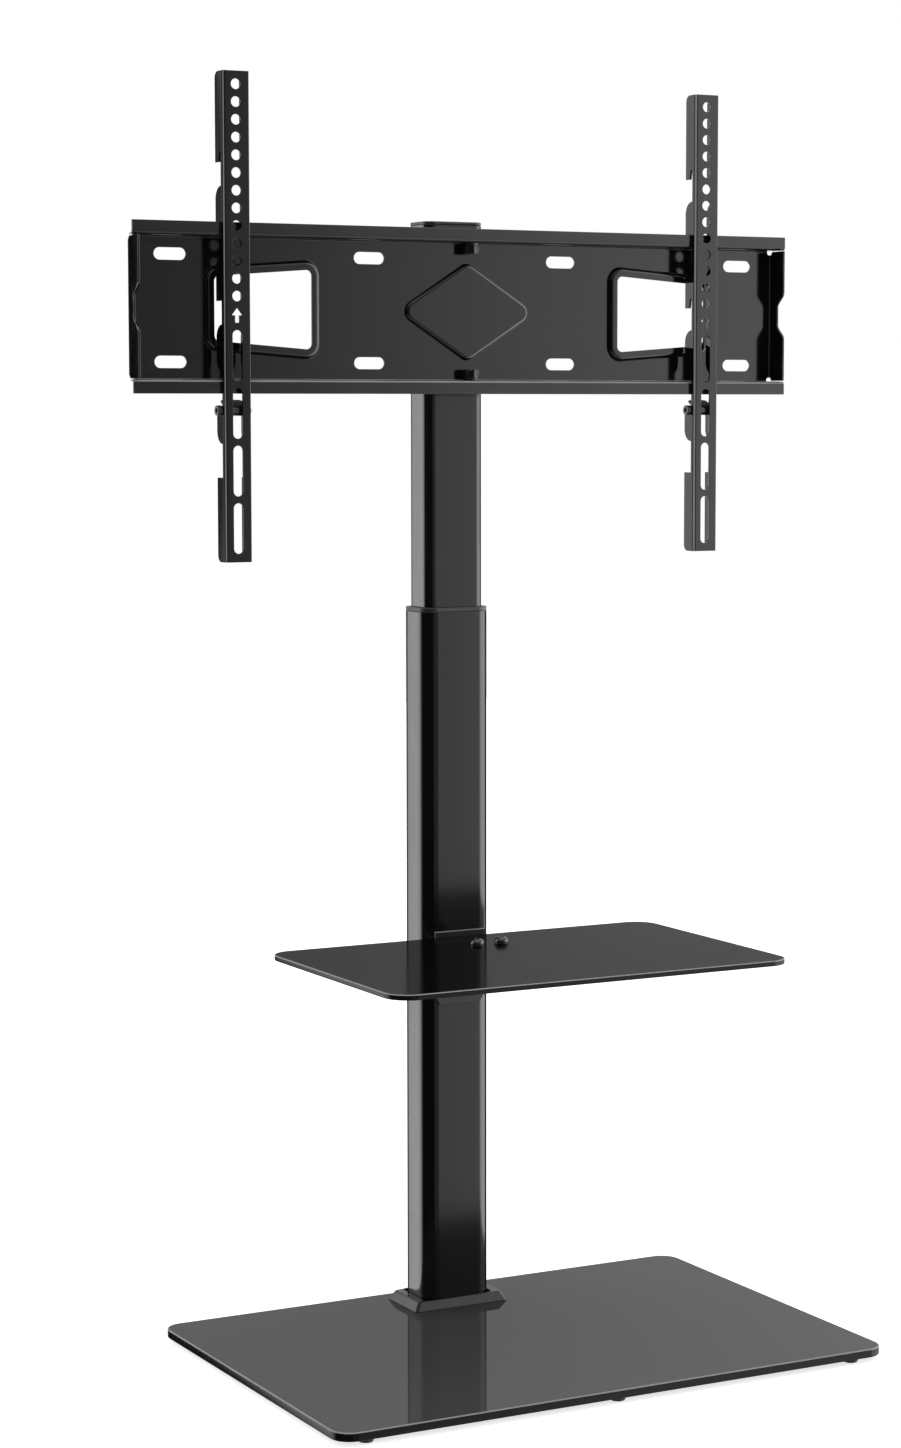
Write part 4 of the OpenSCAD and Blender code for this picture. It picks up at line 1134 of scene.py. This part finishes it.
# %% Turn the pivot bolts
pivot_head = 4.4
pivot_bolts = bmesh.new()
for low, high in solids_of("pivot_bolts"):
    x, y = (low.x + high.x) / 2, (low.y + high.y) / 2
    up = 1 if low.z > plate_origin.z else -1
    under = high.z - low.z - pivot_head
    rows = [(0.0, 3.1), (0.6, 3.8)] + thread(0.8, 9.0, 4.0, 1.2) + [(9.2, 4.0), (under, 4.0)]
    rows += button_head(under, pivot_head, 7.0, 2.5)
    turned(pivot_bolts, (x, y, low.z if up > 0 else high.z), (0, 0, up), rows)
made = placed("pivot_bolts_domed", pivot_bolts, "pivot_bolts", None, 40, "black_steel")
print("pivot bolts:", len(made.data.polygons), "faces")

# %% [markdown]
# ## The bolts across the arms
# Each latch turns on a bolt that crosses the channel of its arm. The head is a cylinder with a
# hexagon socket, and a thin nut holds the other end. The head, shank and thread are one profile.

# %% Turn the bolts across the arms
nut_low = 2.4
tail_cut = 2.7
head_deep = 3.0
for side in ("left", "right"):
    bolt = bmesh.new()
    node = side + "_cross_bolt"
    low, high = solids_of(node)[0]
    y, z = (low.y + high.y) / 2, (low.z + high.z) / 2
    under = high.x - low.x - tail_cut - head_deep
    rows = [(0.0, 1.8), (0.4, 2.3)] + thread(0.6, 6.0, 2.5, 0.8) + [(6.2, 2.5), (under, 2.5)]
    rows += [(under, 4.3), (under + 0.3, 4.6), (under + 3.6, 4.6), (under + 4.2, 4.35)]
    rows += [(under + 4.4, 4.0), (under + 4.4, 2.3), (under + 4.2, 2.05), (under + 3.9, 4, 1.9),
             (under + 1.8, 4, 1.9), (under + 1.6, 1.0)]
    turned(bolt, (high.x - tail_cut, y, z), (-1, 0, 0), rows)
    placed(node + "_turned", bolt, node, None, 40, "black_steel")

    cut = bmesh.new()
    node = side + "_cross_nut"
    low, high = solids_of(node)[0]
    y, z = (low.y + high.y) / 2, (low.z + high.z) / 2
    nut(cut, (low.x, y, z), (1, 0, 0), nut_low, 3.98, 2.55)
    made = placed(node + "_cut", cut, node, None, 30, "black_steel")
print("cross nut:", len(made.data.polygons), "faces")

# %% [markdown]
# ## The screws
# The screws of the brackets and of the lock are alike but for their size and the side they
# come from, so one loop turns them all and reads length and radius from the solids.

# %% Turn the screws of the brackets and the lock
for node, ahead, head, key in (
    ("bracket_screws", -1, 3.3, 1.6),
    ("swivel_screws", -1, 3.3, 1.6),
    ("lock_screws", 1, 5.0, 2.5),
):
    screws = bmesh.new()
    for low, high in solids_of(node):
        x, z = (low.x + high.x) / 2, (low.z + high.z) / 2
        length = high.y - low.y
        radius = (high.x - low.x) / 2
        shank = 0.5 * radius
        rows = [(0.0, shank - 0.7), (0.5, shank - 0.1)]
        rows += thread(0.7, length - head - 0.4, shank, 0.9) + [(length - head, shank)]
        rows += button_head(length - head, head, radius, key)
        turned(screws, (x, low.y if ahead > 0 else high.y, z), (0, ahead, 0), rows)
    made = placed(node + "_domed", screws, node, None, 40)
    print(made.name, len(made.data.polygons), "faces")

# %% [markdown]
# ## Feet and washers
# A rubber foot is a low cup that is wider at the top, with a soft edge where it meets the
# ground. A washer is stamped, so a copy of its solid with a small round is enough.

# %% Turn the feet and ease the washers
feet = bmesh.new()
for low, high in solids_of("feet"):
    x, y = (low.x + high.x) / 2, (low.y + high.y) / 2
    rows = [
        (1.4, 2.4), (0.5, 3.0), (0.12, 3.6), (0.0, 4.2), (0.0, 5.6), (0.15, 6.1), (0.5, 6.5),
        (3.2, 7.5), (4.2, 7.9), (4.7, 8.0), (5.0, 7.8),
    ]
    turned(feet, (x, y, low.z), (0, 0, 1), rows, 48)
placed("feet_moulded", feet, "feet", None, 30)
for node, slot in (
    ("lock_washers", "steel"), ("pivot_washers", "black_steel"), ("shelf_washers", "black_steel"),
):
    made = placed(node + "_stamped", softened(node, 0.2 * MM), node, slot=slot)
    print(made.name, len(made.data.polygons), "faces")

# %% [markdown]
# ## What stays as the model has it
# Gaskets, sleeves and nut plates lie inside the stand or under the glass. Their shape is right
# as it is, so they keep it and get the finish of their slot.

# %% Coat the remaining nodes
left_plain = [n for n, o in frame["nodes"].items() if not o.hide_render]
for node in left_plain:
    coats = frame["nodes"][node].data.materials
    coats.clear()
    coats.append(finishes[slot_of[node]])
print("coated as they are:", ", ".join(sorted(left_plain)))
